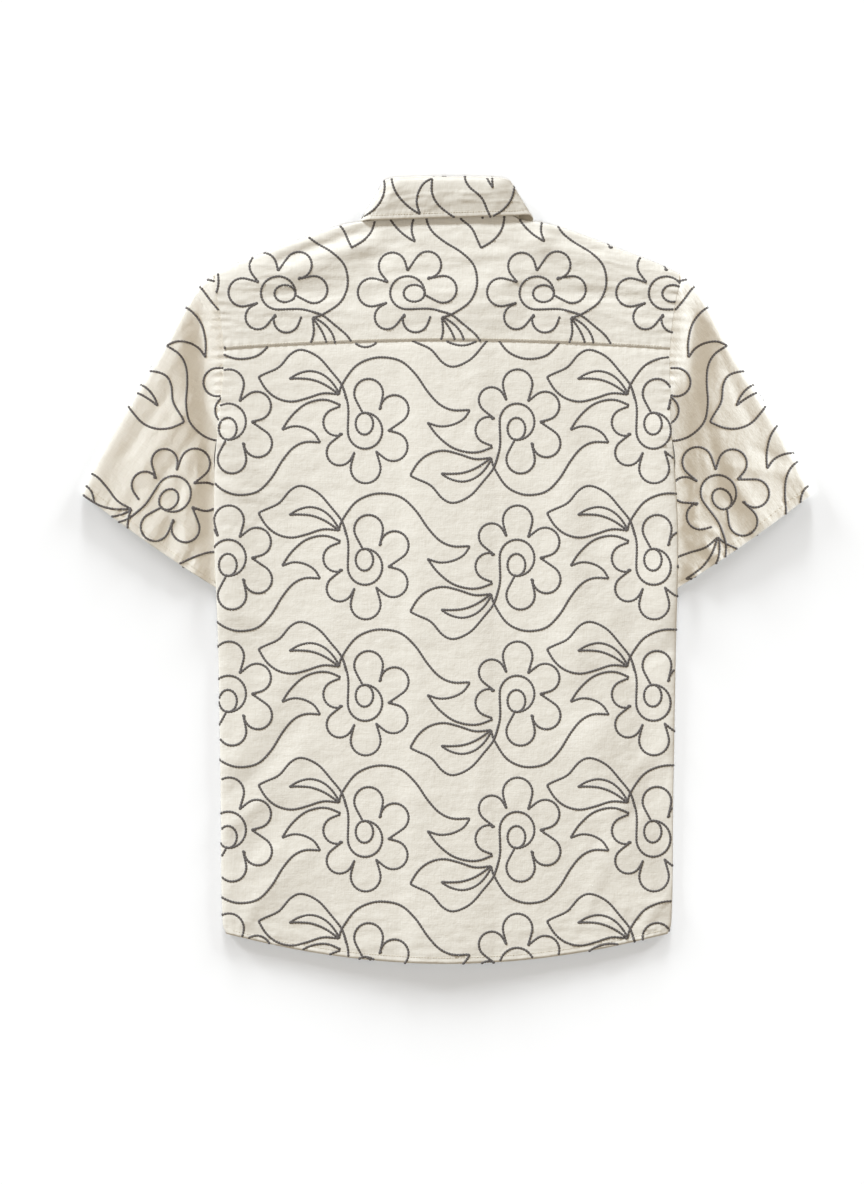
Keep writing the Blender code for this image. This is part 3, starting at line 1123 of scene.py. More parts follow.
@dataclass
class Sleeves:
    """The two short sleeves, each one flattened tube with its seam under the arm."""

    plan: LaidPlan
    cloth: ClothMaker
    cuff_in: tuple[float, float] = (233.0, 388.0)
    cuff_sag: float = 3.0
    fold_edge: tuple[float, float] = (243.0, 256.0)  # at the underarm and at the shoulder
    cuff_fold: float = 9.0
    length: float = 258.0
    least_loft: float = 0.6
    seam_sunk: float = 0.9
    left: Lie = Lie(10, 36, 38, 4.6, 3.4)
    right: Lie = Lie(50, 62, 48, 5.8, 6.0)
    cuff_gathers: Gathers = Gathers(0.5, 8.2, 7, 8)
    armhole_gathers: Gathers = Gathers(0.5, 8.6, 8, 6)
    tilt: float = 34.5  # degrees that the cloth is turned, so that its threads cross the cuff
    outer: tuple[Run, ...] = (
        Run(0.0, 247, 722),
        Run(0.08, 262, 709),
        Run(0.41, 306, 634),
        Run(0.775, 356, 549),
        Run(1.0, 384, 493),
    )
    folds: tuple[Fold, ...] = (
        Fold("valley_inner", 263, 670, 246, 500, 12, -1.2),
        Fold("ridge_long", 292, 640, 334, 474, 20, 0.9),
        Fold("valley_long", 304, 604, 354, 492, 12, -0.6),
        Fold("ridge_outer", 320, 588, 368, 498, 12, 0.4),
        Fold("valley_cuff", 276, 500, 292, 438, 11, -1.2),
    )
    left_creases: tuple[Fold, ...] = (
        Fold("slant_1", 318, 520, 268, 590, 7, 0.9),
        Fold("slant_2", 300, 506, 258, 562, 6, -1.0),
        Fold("slant_3", 336, 536, 292, 596, 6, -0.8),
        Fold("slant_4", 284, 470, 250, 524, 7, 1.1),
        Fold("cuff_1", 258, 446, 274, 418, 5, -1.2),
        Fold("cuff_2", 246, 436, 250, 408, 5, 1.3),
        Fold("cuff_3", 292, 476, 312, 446, 7, 0.9),
        Fold("cuff_4", 322, 496, 340, 470, 6, -0.7),
        Fold("top_1", 270, 660, 300, 610, 6, 0.7),
    )
    right_creases: tuple[Fold, ...] = (
        Fold("slant_1", 276, 540, 300, 484, 7, -0.8),
        Fold("slant_2", 286, 506, 312, 446, 9, -1.5),
        Fold("slant_3", 302, 502, 332, 462, 8, 1.1),
        Fold("across_1", 300, 520, 356, 514, 6, 1.1),
        Fold("across_2", 322, 538, 366, 524, 6, -0.8),
        Fold("crumple_1", 256, 460, 282, 452, 4, 0.9),
        Fold("crumple_2", 250, 440, 274, 424, 4, -0.9),
        Fold("crumple_3", 244, 424, 262, 404, 5, 1.4),
        Fold("crumple_4", 246, 452, 258, 436, 4, 0.8),
        Fold("crumple_5", 270, 440, 286, 422, 5, 0.9),
        Fold("slant_4", 262, 600, 286, 520, 6, -0.6),
        Fold("top_1", 286, 640, 316, 570, 5, -0.6),
    )

    def crumple(self, side: Side, x: float, y: float) -> float:
        """Raises the small creases, which run about across the arm and crowd at the cuff.

        Args:
            side: Which sleeve.
            x: Distance from the centre line.
            y: Height above the hem.

        Returns:
            Their height.
        """
        seed = 71 + side.value
        turned_x, turned_y = 0.82 * x + 0.57 * y, 0.82 * y - 0.57 * x
        near_cuff = 1 - ramp(y + 0.62 * x, 640, 730)
        near_body = 1 - ramp(x, 252, 300)
        rough = 0.16 + 0.22 * near_cuff * (1.6 * near_body + 0.3)
        lines = wrinkle(turned_x / 40, turned_y / 9, seed) + 0.7 * wrinkle(x / 13, y / 34, seed + 3)
        return 0.3 * wander(x, y, 30, seed + 5) + rough * lines

    def over(self, side: Side, along: float, across: float) -> Vector:
        """Finds a point of the laid sleeve as seen from above.

        Args:
            side: Which sleeve.
            along: Share of the way to the cuff.
            across: Share of the way from its outer fold to its seam.

        Returns:
            The point, with x away from the centre line.
        """
        plan, tip, arm = self.plan, self.plan.shoulder_tip, self.plan.underarm
        cuff_in = Vector(self.cuff_in)

        def armhole(share: float) -> Vector:
            """Finds a point of the armhole seam.

            Args:
                share: Share of the way down.

            Returns:
                The point.
            """
            y = mix(tip, arm, share)
            gap = mix(plan.seam_gap + 1.0, -plan.tuck, ramp(y, arm + 10, arm + 50))
            return Vector((plan.side_edge(side.value, y) + gap, y))

        def outer(share: float) -> Vector:
            """Returns a point of the outer fold."""
            x, y = read(self.outer, "along", "out", share), read(self.outer, "along", "up", share)
            return Vector((x, y))

        def cuff(share: float) -> Vector:
            """Returns a point of the cuff."""
            return outer(1).lerp(cuff_in, share) - Vector((0, self.cuff_sag * math.sin(math.pi * share)))

        ends = outer(along).lerp(armhole(1).lerp(cuff_in, along), across)
        ends += armhole(across).lerp(cuff(across), along)
        first = outer(0).lerp(armhole(1), across)
        return ends - first.lerp(outer(1).lerp(cuff_in, across), along)

    def height(self, side: Side, x: float, y: float, along: float, length: float) -> float:
        """Finds the height of the upper layer.

        Args:
            side: Which sleeve.
            x: Distance from the centre line.
            y: Height above the hem.
            along: Share of the way to the cuff.
            length: Distance to the cuff.

        Returns:
            The middle of the cloth.
        """
        plan = self.plan
        left = side is Side.LEFT
        lie, creases = (self.left, self.left_creases) if left else (self.right, self.right_creases)
        edge = plan.side_edge(side.value, y)
        rest = 1.5 * plan.wall + plan.side_gap
        out = x - edge
        low = 1 - ramp(y, plan.underarm + 2, plan.underarm + 36)
        seam = mix(plan.back_height(side.value * min(x, edge), y) - self.seam_sunk, rest, low)
        width = mix(*self.fold_edge, max(y - plan.underarm, 0) / 170) - edge
        width = mix(-12, width, ramp(y, plan.underarm + lie.early, plan.underarm + 50 + lie.early))
        cap = 1 - ramp(out, width - 13, width + 8)
        soft = relief(self.folds, x, y) + relief(creases, x, y) + self.crumple(side, x, y)
        soft += plan.pucker(length - self.cuff_fold, x + 0.6 * y, self.cuff_gathers)
        soft -= plan.row_depth * bell(length - self.cuff_fold, plan.row_width)
        span = mix(lie.span_low, lie.span_high, ramp(y, plan.underarm, plan.underarm + 80))
        start = max(0.8 * width - 2, -2)
        full = mix(lie.full_top, lie.full_cuff, ramp(along, 0.55, 1))
        loft = full * ramp(out, start, start + span) + self.least_loft
        field = rest + ramp(out, 2, 20) * max(loft + soft, plan.least_puff)
        ease = plan.pucker(out, y, self.armhole_gathers, side.value) * (1 - low)
        return max(mix(field, seam + ease * ramp(out, 1, 6), cap), rest)

    def surface(self, side: Side, u: float, v: float) -> tuple[Vector, Vector]:
        """Shapes one wall: the upper layer out to the fold, round it, and the lower layer back.

        Args:
            side: Which sleeve.
            u: Share of the way round.
            v: Share of the way to the cuff.

        Returns:
            The place, and the spot on the cut cloth.
        """
        over = self.over(side, v, 0)
        span = (over - self.over(side, v, 1)).length
        roll = mix(16, 8, ramp(v, 0, 0.3)) / span
        length = (1 - v) * self.length
        bottom = self.plan.outer_face + self.cloth.thickness / 2
        if u < 0.5:
            place = self.over(side, v, mix(1, roll, u / 0.5))
            z = self.height(side, place.x, place.y, v, length)
        elif u > 2 / 3:
            place = self.over(side, v, mix(roll, 1, (u - 2 / 3) * 3))
            z = bottom
        else:
            angle = math.pi / 2 - math.pi * (u - 0.5) * 6
            start = self.over(side, v, roll)
            top = self.height(side, start.x, start.y, v, length)
            place = self.over(side, v, roll * (1 - math.cos(angle)))
            z = mix(bottom, top, (1 + math.sin(angle)) / 2)
        return Vector((side.value * place.x, place.y, z)), self.spot(side, place)

    def spot(self, side: Side, place: Vector) -> Vector:
        """Returns the place on the cut cloth, whose threads run to the cuff."""
        turn = Matrix.Rotation(math.radians(-side.value * self.tilt), 2)
        return turn @ Vector((side.value * place.x, place.y)) * MM

    def build(self) -> dict[str, bpy.types.Object]:
        """Builds both sleeves.

        Returns:
            The sleeves, by the solids that they stand for.
        """
        pieces = {}
        for side in Side:
            node = f"sleeve_{side.name.lower()}"
            pieces[node] = self.cloth.lay(node, f"{node}_cloth", partial(self.surface, side), (132, 92))
        return pieces


@dataclass
class Collar:
    """The collar stand and the leaf folded over it."""

    cloth: ClothMaker
    roll: float = 1.15
    leaf_start: float = 3.0
    seam_gap: float = 0.6
    tab_lift: float = 1.5
    top_stitch: float = 5.2
    leaf_depth: float = 47.0
    leaf_half: float = 210.0
    rise_end: float = 0.08  # share of the leaf up to which it rises, and up to which it rolls over
    roll_end: float = 0.3
    leaf_thickness: float = 1.3
    stand_depth: float = 30.0
    stand_half: float = 200.0
    stand_thickness: float = 1.1
    rings: tuple[Ring, ...] = (
        Ring(0.00, 0, 824, 7.9, 0, 784, 10.6, 0, 791.3, 8.0, 0, 1),
        Ring(0.18, 30, 824, 7.9, 40, 784, 10.5, 32, 790.6, 7.9, 0, 1),
        Ring(0.33, 54, 823, 7.8, 72, 784, 10.0, 60, 787.4, 7.4, 0.1, 1),
        Ring(0.42, 63.5, 821, 6.9, 85, 784, 8.4, 72, 783.4, 6.2, 0.6, 0.8),
        Ring(0.48, 66, 818, 4.9, 89.5, 781.5, 5.0, 75.5, 781, 4.6, 1, 0),
        Ring(0.54, 64.5, 812, 2.8, 90, 778, 1.5, 75, 780.8, 3.3, 0.6, -0.8),
        Ring(0.60, 60, 801, 1.92, 88.5, 765, 0.78, 72.5, 773, 2.4, 0, -1),
        Ring(0.70, 47, 778, 1.92, 82, 735, 0.78, 61, 753, 2.3, 0, -1),
        Ring(0.84, 26, 745, 1.92, 71, 698, 0.78, 36, 719.5, 2.3, 0, -1),
        Ring(1.00, 5, 713, 2.0, 60, 668, 0.78, 8, 691, 3.1, 0, -1),
        Ring(1.10, -9, 708, 2.0, 60, 668, 0.78, -10, 692, 3.1, 0, -1),
    )
    fronts: tuple[Slope, ...] = field(init=False)
    backs: tuple[Slope, ...] = field(init=False)

    def __post_init__(self) -> None:
        """Works out where the stand is sewn to the fronts and to the yoke."""
        self.fronts = self.seam_slopes([1 - 0.04 * step for step in range(12)])
        self.backs = self.seam_slopes([0.04 * step for step in range(12)])

    def seam_slopes(self, turns: list[float]) -> tuple[Slope, ...]:
        """Reads the seam between the stand and the body.

        Args:
            turns: Where round the neck.

        Returns:
            Its points.
        """
        return tuple(
            Slope(read(self.rings, "turn", "seam_x", turn), read(self.rings, "turn", "seam_y", turn))
            for turn in turns
        )

    def front_seam(self, x: float) -> float:
        """Returns the height of the seam to the fronts."""
        return read(self.fronts, "out", "up", x)

    def back_seam(self, x: float) -> float:
        """Returns the height of the seam to the yoke."""
        return read(self.backs, "out", "up", abs(x))

    def lines(self, turn: float) -> tuple[Vector, Vector, Vector, Vector, Vector]:
        """Reads the collar's lines at a turn round the neck.

        Args:
            turn: From 0 behind to 1 in front, less than 0 on the wearer's left.

        Returns:
            The crest, the edge, the seam, the way up and the way out.
        """
        side = math.copysign(1, turn)
        at = {name: read(self.rings, "turn", name, abs(turn)) for name in Ring._fields[1:]}
        crest = Vector((at["fold_x"] * side, at["fold_y"], at["fold_z"]))
        edge = Vector((at["edge_x"] * side, at["edge_y"], at["edge_z"]))
        seam = Vector((at["seam_x"] * side, at["seam_y"], at["seam_z"]))
        up = (crest - seam).normalized()
        out = Vector((at["out_x"] * side, 0, at["out_z"])).normalized()
        behind = 1 - ramp(abs(turn), 0.4, 0.56)
        edge += Vector((0, -2.6 + 2.8 * turn / 0.4, 0)) * behind
        return crest, edge, seam, up, out

    def leaf(self, u: float, v: float) -> tuple[Vector, Vector]:
        """Shapes the leaf: up from the stand, over the fold, and down to its edge.

        Args:
            u: Share of the way round the neck.
            v: Share of the way from the stand to the edge.

        Returns:
            The place, and the spot on the cut cloth.
        """
        turn = 2 * u - 1
        crest, edge, _, up, out = self.lines(turn)
        along, down = turn * self.leaf_half, v * self.leaf_depth
        spot = Vector((down, along)) * MM
        if v < self.rise_end:
            place = crest - up * mix(self.leaf_start, self.roll, v / self.rise_end) - out * self.roll
            return place, spot
        if v <= self.roll_end:
            angle = math.pi * ((v - self.rise_end) / (self.roll_end - self.rise_end) - 0.5)
            place = crest + (up * (math.cos(angle) - 1) + out * math.sin(angle)) * self.roll
            return place, spot
        start = crest - up * self.roll + out * self.roll
        share = (v - self.roll_end) / (1 - self.roll_end)
        place = start.lerp(edge, share)
        from_edge = (1 - share) * (edge - start).length
        behind = 1 - ramp(abs(turn), 0.38, 0.5)
        inside = math.sin(math.pi * share)
        raised = 0.9 * wander(along, down, 34, 41) * inside
        raised += 3.4 * math.sin(math.pi * share**0.5) * (1 - ramp(abs(turn), 0.28, 0.42))
        raised += 0.6 * wrinkle(turn * 3.4, v * 5.5, 43) * inside
        raised += 0.7 * wrinkle(turn * 5 + v, v * 3.2 - turn, 47) * inside
        raised += 0.5 * bell(from_edge - 2, 2.6) - 0.35 * bell(from_edge - self.top_stitch, 1.2)
        raised += 0.25 * math.cos(along) * bell(from_edge - self.top_stitch, 4)
        return place + out * raised * behind, spot

    def stand(self, u: float, v: float) -> tuple[Vector, Vector]:
        """Shapes the stand, with its right tab on the left one.

        Args:
            u: Share of the way round the neck.
            v: Share of the way from its seam up to the leaf.

        Returns:
            The place, and the spot on the cut cloth.
        """
        turn = (2 * u - 1) * self.rings[-1].turn
        crest, _, seam, up, out = self.lines(turn)
        bend = bell(abs(turn) - 0.47, 0.12)
        top = crest - up * (self.leaf_start + self.seam_gap + 7.5 * bend) - out * self.roll
        tab = self.tab_lift * ramp(turn, 0.86, 0.97)
        place = seam.lerp(top, v) + Vector((0, 0, tab))
        return place, Vector((v * self.stand_depth, turn * self.stand_half)) * MM

    def build(self) -> dict[str, bpy.types.Object]:
        """Builds the two pieces of the collar.

        Returns:
            The pieces, by the solids that they stand for.
        """
        parts = (
            ("collar_leaf", self.leaf, (200, 40), self.leaf_thickness),
            ("collar_stand", self.stand, (176, 8), self.stand_thickness),
        )
        return {node: self.cloth.lay(node, f"{node}_cloth", *rest) for node, *rest in parts}


class Petal(NamedTuple):
    """One petal of the flower: a round lobe in a direction, and the notch after it."""

    angle: float
    reach: float
    radius: float
    notch_angle: float
    notch_reach: float


class Kind(Enum):
    """The two ways up in which the motif is sewn, in alternate columns."""

    STEM_OVER = 1
    STEM_UNDER = -1


@dataclass
class FlowerMotif:
    """One flower with its stem, leaf and half leaf, charted in millimetres round its middle."""

    ring: tuple[float, float] = (18.2, 19.0)
    eye: tuple[float, float] = (9.3, 11.6)
    crossing: tuple[float, float] = (-24.2, 48.0)
    link_end: tuple[float, float] = (133.8, -17.4)
    first_notch: tuple[float, float] = (95.0, 17.5)
    tick: float = 4.5
    lobe_steps: int = 10
    round_step: float = 24.0  # degrees between the points of the ring and of the eye
    stem: Points = ((-20.6, 38), (-17.6, 24))
    leaf_root: tuple[float, float] = (-19.5, 33)
    leaf_upper: Points = ((-35, 62), (-49, 77.5), (-66, 85), (-78, 80.5), (-90, 67))
    leaf_tip: tuple[float, float] = (-112, 56.5)
    leaf_lower: Points = ((-103.5, 43), (-92, 34), (-77, 30.5), (-61, 34), (-44, 39.2), (-27.2, 38))
    vein_upper: Points = ((-27, 40), (-35, 51.5), (-45, 59.5), (-57.5, 62.8), (-70, 60))
    vein_tip: tuple[float, float] = (-79.5, 54.3)
    vein_lower: Points = ((-70, 54.8), (-56, 53.6), (-42, 48.2), (-27.4, 38.4))
    link_start: tuple[float, float] = (-27.2, 37.8)
    link_rise: Points = ((-11, 66.5), (4, 74.8), (20, 76.8), (38, 72.6), (53, 59))
    link_fall: Points = ((65.5, 41), (78, 27.6), (92, 21.4))
    link_tip: tuple[float, float] = (110, 21.6)
    link_inner: Points = ((103, 12), (91, 6), (78, 4.6))
    link_turn: tuple[float, float] = (65.4, 8.4)
    link_outer: Points = ((75.5, -5), (90, -17), (105, -22.3), (119, -22.6))
    petals: tuple[Petal, ...] = (
        Petal(84.5, 54.5, 15.0, 55, 26.6),
        Petal(36, 53.0, 14.8, 0, 24.3),
        Petal(-29.5, 49.0, 15.0, -61.5, 24.5),
        Petal(-89, 55.0, 15.6, -116, 25.0),
        Petal(-139.5, 48.5, 13.6, -173, 23.6),
        Petal(163, 45.0, 14.2, 135.5, 36.4),
    )

    def notches(self) -> list[Vector]:
        """Returns the points between the petals, from the start of the first."""
        ends = [(shape.notch_angle, shape.notch_reach) for shape in self.petals]
        return [polar(*end) for end in [self.first_notch, *ends]]

    def petal(self, number: int) -> Path:
        """Draws a petal: straight sides from two notches that touch its round lobe.

        Args:
            number: Which petal.

        Returns:
            Its outline.
        """
        shape = self.petals[number]
        start, end = self.notches()[number : number + 2]
        middle = polar(shape.angle, shape.reach - shape.radius)

        def touching(notch: Vector, turn: float) -> float:
            """Returns the direction from the lobe's middle to where the side touches it."""
            away = notch - middle
            return math.atan2(away.y, away.x) - turn * math.acos(min(shape.radius / away.length, 0.98))

        first, last = touching(start, 1), touching(end, -1)
        sweep = (first - last) % (2 * math.pi)
        lobe = [
            middle + polar(math.degrees(first - sweep * step / self.lobe_steps), shape.radius)
            for step in range(self.lobe_steps + 1)
        ]
        return [start, *lobe, end]

    def ticks(self) -> Iterator[Path]:
        """Yields the short doubled stitches at the notches."""
        for notch in self.notches()[1:6]:
            yield [notch, notch + notch.normalized() * self.tick]

    def middle(self) -> Path:
        """Draws the line that comes down the stem, round the ring and round the eye.

        Returns:
            Its points.
        """

        def oval(size: tuple[float, float], start: float, count: int, x: float, y: float) -> Path:
            """Returns points round an oval from a direction in degrees."""
            angles = [math.radians(start + step * self.round_step) for step in range(count)]
            return [Vector((size[0] * math.cos(a) + x, y + size[1] * math.sin(a))) for a in angles]

        ring = oval(self.ring, 172, 12, 0, 0)
        eye = oval(self.eye, 96, 16, -0.6, self.ring[1] - self.eye[1])
        return [Vector(self.crossing), *map(Vector, self.stem), *ring, *eye]

    def leaf(self) -> Path:
        """Draws the outline of the leaf, from the stem round its tip to its base.

        Returns:
            Its points.
        """
        upper, tip = [Vector(point) for point in self.leaf_upper], Vector(self.leaf_tip)
        start = [Vector(self.leaf_root), Vector(self.crossing), *upper, tip.lerp(upper[-1], 0.35)]
        return [*start, tip, tip, *map(Vector, self.leaf_lower)]

    def vein(self) -> Path:
        """Returns the narrow loop inside the leaf."""
        tip = self.vein_tip
        return [Vector(point) for point in (*self.vein_upper, tip, tip, *self.vein_lower)]

    def link(self, stretch: float) -> Path:
        """Draws the stem over the flower, and the half leaf that joins it to the next one.

        Args:
            stretch: Its length as a share of the usual one.

        Returns:
            Its points.
        """
        tip, turn, start = self.link_tip, self.link_turn, self.crossing[0]
        run = [*self.link_rise, *self.link_fall, tip, tip, *self.link_inner, turn, turn]
        run += [*self.link_outer, self.link_end]
        points = [Vector((start + (x - start) * stretch, y)) for x, y in run]
        return [Vector(self.link_start), Vector(self.crossing), *points]

    def strokes(self, kind: Kind, stretch: float) -> Iterator[Path]:
        """Draws the whole motif, turned over where its stem runs under the flower.

        Args:
            kind: Which way up it is.
            stretch: The link's length as a share of the usual one.

        Yields:
            Each of its lines.
        """
        lines = [self.middle(), self.leaf(), self.vein(), self.link(stretch)]
        lines += [self.petal(number) for number in range(len(self.petals))]
        lines += list(self.ticks())
        for line in lines:
            yield [Vector((point.x, point.y * kind.value)) for point in line]


class Layer(NamedTuple):
    """How the embroidered cloth lay when a panel was cut.

    The place is that of one flower of the kind whose stem runs under it. The other kind's column
    is beside it by that much in the pattern's own directions. Rows are counted from that flower.
    """

    node: str
    turn: float
    x: float
    y: float
    beside: tuple[float, float] = (143.1, -9.4)
    size: float = 1.0
    columns: int = 0
    under_rows: tuple[int, int] = (-3, 3)
    over_rows: tuple[int, int] = (-3, 3)
    turned_over: bool = False
    above: bool = True


@dataclass
class Sewing:
    """Short raised stitches laid along lines on a cloth."""

    material: bpy.types.Material
    stitch_length: float
    stitch_width: float
    stitch_height: float
    spacing: float

    def stitch(self) -> bmesh.types.BMesh:
        """Makes one stitch lying along x, a slim bead with a full middle.

        Returns:
            The stitch.
        """
        bead = bmesh.new()
        bmesh.ops.create_uvsphere(bead, u_segments=5, v_segments=4, radius=0.5)
        turn = Matrix.Rotation(math.pi / 2, 4, "Y")
        size = Matrix.Diagonal((self.stitch_length, self.stitch_width, self.stitch_height, 1))
        bmesh.ops.transform(bead, matrix=size @ turn, verts=bead.verts)
        return bead

    def frames(
        self,
        marks: Iterable[Mark],
        cloth: BVHTree,
        covers: list[BVHTree],
        above: bool,
    ) -> list[np.ndarray]:
        """Drops stitches on a cloth where nothing covers it.

        Args:
            marks: Their places and directions on the cutting table.
            cloth: The cloth that they are sewn on.
            covers: Everything else that may lie over it.
            above: Whether they are on its upper side.

        Returns:
            Three axes and a place for each stitch.
        """
        down = -1 if above else 1
        found = []
        for spot, heading in marks:
            ray_from = world_point((spot.x, spot.y, -RAY_HEIGHT * down))
            ray = Vector((0, 0, down))
            place, normal, _, distance = cloth.ray_cast(ray_from, ray)
            if place is None or abs(normal.z) < LEAST_FACING:
                continue
            if any((hit := cover.ray_cast(ray_from, ray))[0] and hit[3] < distance for cover in covers):
                continue
            normal = normal if normal.z * down < 0 else -normal
            along = Vector((heading.x, heading.y, 0))
            along = (along - normal * along.dot(normal)).normalized()
            middle = place + normal * (STITCH_RISE * MM)
            found.append(np.array([along, normal.cross(along), normal, middle]))
        return found

    def sew(self, name: str, frames: list[np.ndarray]) -> bpy.types.Object:
        """Makes one mesh of a stitch repeated at every frame.

        Args:
            name: The piece's name.
            frames: Three axes and a place for each stitch.

        Returns:
            The piece.
        """
        bead = self.stitch()
        bead.verts.ensure_lookup_table()
        shape = np.array([v.co[:] for v in bead.verts]) * MM
        faces = [[v.index for v in face.verts] for face in bead.faces]
        bead.free()
        placed = np.array(frames)
        corners = np.einsum("vk,nkj->nvj", shape, placed[:, :3]) + placed[:, 3][:, None]
        mesh = bpy.data.meshes.new(name)
        count = len(shape)
        mesh.from_pydata(
            corners.reshape(-1, 3).tolist(),
            [],
            [[index + n * count for index in face] for n in range(len(placed)) for face in faces],
        )
        return finish_piece(name, mesh, self.material)

    def sew_rows(
        self,
        prefix: str,
        cloths: dict[str, bpy.types.Object],
        rows: Iterable[tuple[str, bool, Iterable[Mark]]],
    ) -> None:
        """Sews rows of stitches, those on one panel as one piece.

        Args:
            prefix: The start of the pieces' names.
            cloths: The panels, by the solids that they stand for.
            rows: The panel, whether the row is on its upper side, and its stitches.
        """
        trees = {node: tree_of(piece) for node, piece in cloths.items()}
        found: dict[str, list[np.ndarray]] = {}
        for node, above, marks in rows:
            covers = [tree for other, tree in trees.items() if other != node]
            found.setdefault(node, []).extend(self.frames(marks, trees[node], covers, above))
        for node, frames in found.items():
            self.sew(f"{prefix}_{node}", frames)


@dataclass
class Embroidery(Sewing):
    """The flower pattern, sewn through every panel in dark thread."""

    motif: FlowerMotif
    column_pitch: float = 302.4
    row_pitch: float = 142.6
    under_stretch: float = 0.897  # length of the stem under the flower, as a share of the other
    layers: tuple[Layer, ...] = (
        Layer("back_panel", 0, 73.2, 425.5, columns=2),
        Layer("back_yoke", 90, -177.0, 703.0, (161.4, 5.0), 0.95),
        Layer("sleeve_left", -34.5, -287.0, 492.4, under_rows=(-1, 0), over_rows=(1, 0)),
        Layer("sleeve_left", -35.0, -284.4, 493.5, (147.0, 9.6), under_rows=(1, 2), turned_over=True),
        Layer("sleeve_right", 35.0, 284.4, 493.5, (147.0, 9.6)),
        Layer("collar_leaf", 90, -36.2, 731.4, (164.6, 0.0), 0.95),
        Layer("front_left", 0, 73.2, 425.5, columns=2, above=False),
        Layer("front_right", 0, 73.2, 425.5, columns=2, above=False),
        Layer("sleeve_left", -34.5, -296.0, 512.0, above=False),
        Layer("sleeve_right", 34.5, 296.0, 512.0, above=False),
        Layer("collar_leaf", 90, -36.2, 700.0, size=0.95, above=False),
    )

    def marks(self, layer: Layer) -> Iterator[Mark]:
        """Repeats the motif over a panel as it lay when it was cut.

        Args:
            layer: How it lay.

        Yields:
            The place and direction of every stitch.
        """
        turn = Matrix.Rotation(math.radians(layer.turn), 2)
        if layer.turned_over:
            turn = turn @ Matrix.Diagonal((-1, 1))
        start = Vector((layer.x, layer.y))
        for kind in Kind:
            over = kind is Kind.STEM_OVER
            offset = Vector(layer.beside) if over else Vector((0, 0))
            first, last = layer.over_rows if over else layer.under_rows
            steps = [
                (middle * layer.size, way)
                for line in self.motif.strokes(kind, 1.0 if over else self.under_stretch)
                for middle, way in evenly(line, self.spacing / layer.size)
            ]
            for column in range(-layer.columns, layer.columns + 1):
                for row in range(first, last + 1):
                    place = offset + Vector((column * self.column_pitch, row * self.row_pitch))
                    place = place * layer.size
                    yield from ((turn @ (place + middle) + start, turn @ way) for middle, way in steps)

    def build(self, cloths: dict[str, bpy.types.Object]) -> None:
        """Sews the pattern on every panel that shows it."""
        rows = ((layer.node, layer.above, self.marks(layer)) for layer in self.layers)
        self.sew_rows("embroidery", cloths, rows)


@dataclass
class Topstitching(Sewing):
    """Rows of cream stitches along the hem, the cuffs, the yoke, the collar and the band."""

    plan: LaidPlan
    sleeves: Sleeves
    collar: Collar
    yoke_row: float = 2.2
    band_row: float = 3.2
    buttonhole: float = 7.4
    button_heights: tuple[float, ...] = (701, 640, 552, 464, 376, 288, 200)
    row_half: int = 225
    row_step: int = 15
    edge_turn: float = 0.045  # between the points of the row along the collar's edge

    def rows(self) -> Iterator[tuple[str, bool, Path]]:
        """Draws every row.

        Yields:
            The panel, whether the row is on its upper side, and the row.
        """
        plan = self.plan
        across = range(-self.row_half, self.row_half + 1, self.row_step)
        hem = [Vector((x, plan.hem(x) + HEM_FOLD)) for x in across]
        yield "back_panel", True, hem
        yield "back_yoke", True, [Vector((x, plan.yoke_seam(x) + self.yoke_row)) for x in across]
        for side in Side:
            sign = side.value
            name = side.name.lower()
            out = range(20, self.row_half + 1, self.row_step)
            yield f"front_{name}", False, [Vector((sign * x, plan.hem(x) + HEM_FOLD + 2)) for x in out]
            row = 1 - self.sleeves.cuff_fold / self.sleeves.length
            cuff = []
            for step in range(13):
                place = self.sleeves.over(side, row, step / 12)
                cuff.append(Vector((sign * place.x, place.y)))
            yield f"sleeve_{name}", True, cuff
            yield f"sleeve_{name}", False, cuff
            x = sign * (plan.band_half - self.band_row)
            yield "front_band", False, [Vector((x, y)) for y in range(8, 690, 30)]
            for height in self.button_heights:
                ends = (height - self.buttonhole, height + self.buttonhole)
                yield "front_band", False, [Vector((sign * 0.7, y)) for y in ends]
        edge = []
        for step in range(-9, 10):
            crest, low, *_ = self.collar.lines(step * self.edge_turn)
            inward = (crest - low).normalized() * self.collar.top_stitch
            edge.append(Vector((low + inward)[:2]))
        yield "collar_leaf", True, edge

    def build(self, cloths: dict[str, bpy.types.Object]) -> None:
        """Sews the rows of each panel as one piece."""
        rows = ((node, above, evenly(row, self.spacing)) for node, above, row in self.rows())
        self.sew_rows("stitches", cloths, rows)


